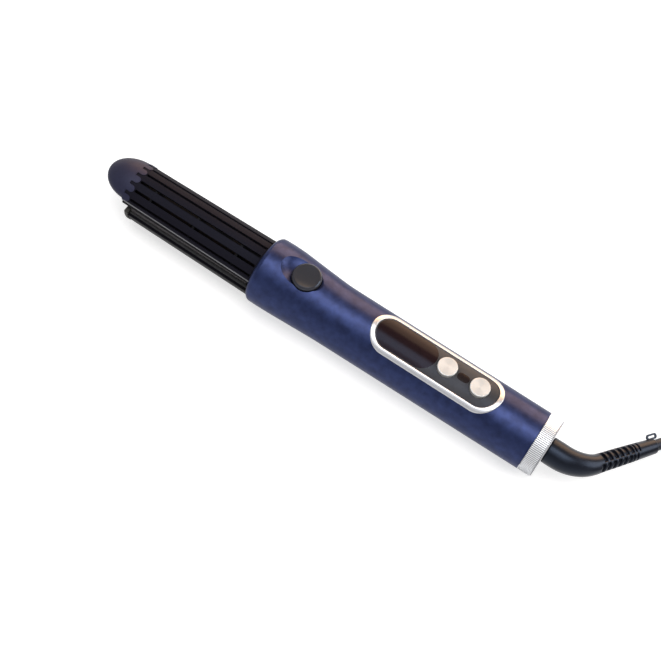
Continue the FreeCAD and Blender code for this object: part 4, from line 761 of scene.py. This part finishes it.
class STRAIGHTENER_OT_tie(bpy.types.Operator):
    """Make the strap that holds the coil"""

    bl_idname = "straightener.tie"
    bl_label = "Coil tie"

    def execute(self, context):
        """A rounded strip carried round a rounded rectangle about the bundle of turns."""
        s = sizes()
        centre, first, outer = coil_frame()
        turn = first - np.pi
        edge = s.coil_mean_radius - s.coil_layer_turns * s.coil_pitch / 2 - s.cord_radius
        wall = s.tie_thickness
        near = math.sqrt(edge * edge - s.tie_width ** 2 / 4) - s.tie_gap - wall / 2
        far = outer + s.cord_radius + s.tie_gap + wall / 2
        low = wall / 2
        high = wall + s.tie_gap + 2 * s.cord_radius + s.coil_pitch + s.tie_gap + wall / 2
        corner = 2 * wall
        loop = np.linspace(0, 2 * np.pi, STRAP_STEPS, endpoint=False)
        half = np.array(((far - near) / 2 - corner, (high - low) / 2 - corner))
        direction = np.stack((np.cos(loop), np.sin(loop)), axis=-1)
        straight = np.sign(direction) * half * np.minimum(1, np.abs(direction) * STRAP_SHARPNESS)
        path = straight + direction * corner
        strip = np.linspace(0, 2 * np.pi, STRAP_SIDES, endpoint=False)
        through = wall / 2 * np.sin(strip)
        aside = np.sign(np.cos(strip)) * (s.tie_width / 2 - wall / 2) + wall / 2 * np.cos(strip)
        radial = path[:, None, 0] + direction[:, None, 0] * through + (near + far) / 2
        height = path[:, None, 1] + direction[:, None, 1] * through + (low + high) / 2
        sideways = np.broadcast_to(aside, radial.shape)
        x = centre[0] + radial * math.cos(turn) - sideways * math.sin(turn)
        y = centre[1] + radial * math.sin(turn) + sideways * math.cos(turn)
        grid = np.stack((x, y, height), axis=-1)
        c = colours()
        woven = finish("tie_weave", c.cord, shade(c.cord, 2.2), roughness=(0.7, 0.95), grain=4200, relief=0.5,
                       stretch=(1, 1, 0.4))
        faces = grid_faces(len(loop), len(strip), True, True)
        tie = make_piece("tie_strap", grid, faces, woven)
        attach(tie, "cord_set")
        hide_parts("cord_tie")
        return {"FINISHED"}


class STRAIGHTENER_OT_cord(bpy.types.Operator):
    """Lay the cord from the boot to its plug"""

    bl_idname = "straightener.cord"
    bl_label = "Cord"

    def execute(self, context):
        s = sizes()
        c = colours()
        tip, way = boot_tip()
        route = np.vstack((tip, tip + way * s.lead_first_run, lead_points(), coil_points()))
        curve = bpy.data.curves.new("cord", "CURVE")
        curve.dimensions = "3D"
        spline = curve.splines.new("NURBS")
        spline.points.add(len(route) - 1)
        weights = np.ones((len(route), 1))
        spline.points.foreach_set("co", np.hstack((route, weights)).ravel())
        spline.order_u = 3
        spline.use_endpoint_u = True
        spline.resolution_u = 5
        spline.use_smooth = True
        curve.bevel_depth = s.cord_radius
        curve.bevel_resolution = 5
        curve.use_fill_caps = True
        sheath = finish("cord_sheath", c.cord, shade(c.cord, 1.7), roughness=(0.38, 0.52), grain=3000, relief=0.06,
                        **RUBBER_GLOSS)
        curve.materials.append(sheath)
        cord = bpy.data.objects.new("cord", curve)
        context.scene.collection.objects.link(cord)
        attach(cord, "cord_set")
        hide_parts("cord_lead", "cord_coil")
        plug = finish("plug_rubber", shade(c.rubber, 1.5), shade(c.rubber, 2.2), roughness=(0.45, 0.6), grain=4000,
                      relief=0.1, **RUBBER_GLOSS)
        dress(plug, "plug_body")
        pins = finish("pin_nickel", c.nickel, c.nickel_dark, roughness=(0.2, 0.3), grain=3000, relief=0.02,
                      Metallic=1.0)
        dress(pins, "plug_pins")
        return {"FINISHED"}


class STRAIGHTENER_OT_bezel(bpy.types.Operator):
    """Make the silver band round the control panel"""

    bl_idname = "straightener.bezel"
    bl_label = "Bezel"

    def execute(self, context):
        """A crowned band carried round a stadium and wrapped on the handle's cone: height adds to its radius."""
        s = sizes()
        half = s.bezel_band / 2
        bend = s.panel_width / 2 - half
        straight = s.panel_length - s.panel_width
        around = np.linspace(0, 1, BEZEL_STEPS, endpoint=False)
        lengths = np.array((0, straight, straight + np.pi * bend, 2 * straight + np.pi * bend,
                            2 * straight + 2 * np.pi * bend))
        along = around * lengths[-1]
        left = s.panel_start + s.panel_width / 2
        right = left + straight
        first = np.clip(along, 0, straight)
        second = np.clip(along - lengths[1], 0, np.pi * bend) / bend
        third = np.clip(along - lengths[2], 0, straight)
        fourth = np.clip(along - lengths[3], 0, np.pi * bend) / bend
        angle = np.pi / 2 - second - fourth
        on_front = along < lengths[2]
        normal = np.stack((np.cos(angle), np.sin(angle)), axis=-1)
        centre_x = np.where(on_front, left + first, right - third)
        middle = np.stack((centre_x, np.zeros_like(centre_x)), axis=-1)
        turn = np.linspace(0, np.pi, CROWN_STEPS)
        out = half * np.sign(np.cos(turn)) * np.abs(np.cos(turn)) ** CROWN_POWER
        rise = s.bezel_proud * np.sin(turn) ** CROWN_POWER
        out = np.concatenate(([half], out, [-half]))
        rise = np.concatenate(([-s.bezel_depth], rise, [-s.bezel_depth]))
        plan = middle[:, None, :] + normal[:, None, :] * (bend + out)[None, :, None]
        radius = handle_radius(plan[..., 0])
        lean = np.arcsin(plan[..., 1] / radius)
        reach = radius + rise[None, :]
        grid = np.stack((plan[..., 0], reach * np.sin(lean), s.axis_height + reach * np.cos(lean)), axis=-1)
        faces = grid_faces(len(around), len(out), wrap_rows=True, wrap_columns=True)
        bezel = make_piece("bezel", grid, faces, bezel_silver())
        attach(bezel, "handle")
        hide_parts("panel_bezel")
        return {"FINISHED"}


class STRAIGHTENER_OT_body(bpy.types.Operator):
    """Finish the handle, the barrel and the thumb button"""

    bl_idname = "straightener.body"
    bl_label = "Body finishes"

    def execute(self, context):
        c = colours()
        dress(navy_lacquer(), "handle_shell")
        dress(barrel_gloss(), "upper_shell")
        # Painted shade: the lower shell takes the barrel's black darkened to a shaded copy
        lower = finish("lower_gloss", shade(c.barrel, 0.4), shade(c.barrel, 0.6), roughness=(0.32, 0.38), grain=900,
                       relief=0.01, stretch=ALONG_BARREL, Specular_IOR_Level=0.03)
        dress(lower, "lower_shell")
        nose = finish("nose_soft", c.nose, shade(c.nose, 1.12), roughness=(0.46, 0.54), grain=6000, relief=0.05,
                      Metallic=0.2, Specular_IOR_Level=0.2)
        dress(nose, "nose_cap")
        tip = finish("tip_soft", c.tip, shade(c.tip, 1.3), roughness=(0.5, 0.6), grain=6000, relief=0.08,
                     Specular_IOR_Level=0.3)
        dress(tip, "tip_cap")
        dress(button_satin(), "clamp_button")
        plate = finish("plate_coat", c.plate, shade(c.plate, 1.4), roughness=(0.25, 0.4), grain=3000, relief=0.04,
                       Metallic=0.6)
        dress(plate, "upper_plate", "lower_plate")
        return {"FINISHED"}


class STRAIGHTENER_OT_panel(bpy.types.Operator):
    """Finish the smoked panel, its display and its keys"""

    bl_idname = "straightener.panel"
    bl_label = "Panel finishes"

    def execute(self, context):
        c = colours()
        lens = finish("smoked_panel", c.smoke, shade(c.smoke, 1.3), roughness=(0.26, 0.34), grain=800, relief=0.01,
                      Specular_IOR_Level=0.12, Specular_Tint=BLACK_TINT)
        dress(lens, "panel_lens")
        display = finish("display_glass", c.display, shade(c.display, 1.5), roughness=(0.16, 0.24), grain=700,
                         relief=0.01, Specular_IOR_Level=0.12, Specular_Tint=BLACK_TINT)
        dress(display, "display_window")
        indicator = finish("indicator_glass", shade(c.display, 0.7), c.display, roughness=(0.16, 0.24), grain=900,
                           relief=0.02, Specular_IOR_Level=0.3)
        dress(indicator, "indicator")
        for name in ("power_key", "mode_key"):
            low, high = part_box(name)
            dress(key_metal(name + "_metal", (low[0] + high[0]) / 2), name)
        return {"FINISHED"}


class STRAIGHTENER_OT_tail(bpy.types.Operator):
    """Finish the ribbed intake ring, the end cap and the swivel"""

    bl_idname = "straightener.tail"
    bl_label = "Tail finishes"

    def execute(self, context):
        c = colours()
        dress(ring_silver(), "intake_ring")
        cap = finish("cap_satin", c.cap, shade(c.cap, 0.9), roughness=(0.34, 0.44), grain=3000, relief=0.03,
                     Specular_IOR_Level=0.15)
        dress(cap, "end_cap")
        swivel = finish("swivel_moulding", c.moulding, shade(c.moulding, 1.6), roughness=(0.4, 0.55), grain=4000,
                        relief=0.08)
        dress(swivel, "swivel_spindle")
        foam = finish("filter_foam", shade(c.moulding, 1.5), shade(c.moulding, 3), roughness=(0.9, 1.0), grain=1500,
                      relief=0.8)
        dress(foam, "intake_filter")
        return {"FINISHED"}


class STRAIGHTENER_OT_inside(bpy.types.Operator):
    """Finish the pieces inside the handle and the barrel"""

    bl_idname = "straightener.inside"
    bl_label = "Inner finishes"

    def execute(self, context):
        c = colours()
        moulding = finish("inner_moulding", c.moulding, shade(c.moulding, 1.5), roughness=(0.45, 0.6), grain=3500,
                          relief=0.1)
        dress(moulding, "clamp_lever", "button_stem", "chassis", "fan_housing", "fan_impeller", "key_switches")
        # The tray's own near-black with painted shade added, darker than the barrel so the channels show black
        tray = finish("tray_black", shade(c.barrel, 0.3), shade(c.barrel, 0.4), roughness=(0.5, 0.6), grain=3000,
                      relief=0.03, Specular_IOR_Level=0.1)
        dress(tray, "upper_tray", "thermal_fuse")
        steel = finish("plain_steel", c.steel, shade(c.steel, 0.85), roughness=(0.25, 0.4), grain=2500, relief=0.03,
                       Metallic=1.0)
        dress(steel, "hinge_pin", "clamp_spring", "root_screws", "fan_motor")
        board = finish("circuit_board", c.board, shade(c.board, 1.4), roughness=(0.35, 0.5), grain=900, relief=0.05)
        dress(board, "control_board", "power_board")
        heater = finish("heater_ceramic", c.ceramic, c.ceramic_dark, roughness=(0.6, 0.8), grain=2000, relief=0.1)
        dress(heater, "upper_heater", "lower_heater")
        module = finish("display_block", c.display, shade(c.display, 2), roughness=(0.2, 0.3), grain=1200, relief=0.03)
        dress(module, "display_module")
        return {"FINISHED"}


class STRAIGHTENER_PT_panel(bpy.types.Panel):
    """Buttons for every group of pieces"""

    bl_idname = "STRAIGHTENER_PT_panel"
    bl_label = "Hair Straightener"
    bl_space_type = "VIEW_3D"
    bl_region_type = "UI"
    bl_category = "Straightener"

    def draw(self, context):
        for operator in OPERATORS:
            self.layout.operator(operator.bl_idname)


OPERATORS = (
    STRAIGHTENER_OT_stage,
    STRAIGHTENER_OT_boot,
    STRAIGHTENER_OT_tie,
    STRAIGHTENER_OT_cord,
    STRAIGHTENER_OT_bezel,
    STRAIGHTENER_OT_body,
    STRAIGHTENER_OT_panel,
    STRAIGHTENER_OT_tail,
    STRAIGHTENER_OT_inside,
)
GROUPS = (StraightenerSizes, StraightenerColours, StraightenerStage)
CLASSES = GROUPS + OPERATORS + (STRAIGHTENER_PT_panel,)


def register():
    """Register the classes and hang the settings on the scene."""
    for item in CLASSES:
        bpy.utils.register_class(item)
    bpy.types.Scene.straightener_sizes = PointerProperty(type=StraightenerSizes)
    bpy.types.Scene.straightener_colours = PointerProperty(type=StraightenerColours)
    bpy.types.Scene.straightener_stage = PointerProperty(type=StraightenerStage)


def unregister():
    """Take the settings and the classes away again."""
    del bpy.types.Scene.straightener_stage
    del bpy.types.Scene.straightener_colours
    del bpy.types.Scene.straightener_sizes
    for item in reversed(CLASSES):
        bpy.utils.unregister_class(item)


def main():
    """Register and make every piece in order."""
    register()
    for operator in OPERATORS:
        group, action = operator.bl_idname.split(".")
        getattr(getattr(bpy.ops, group), action)()
    bpy.context.view_layer.update()


if __name__ == "__main__":
    main()
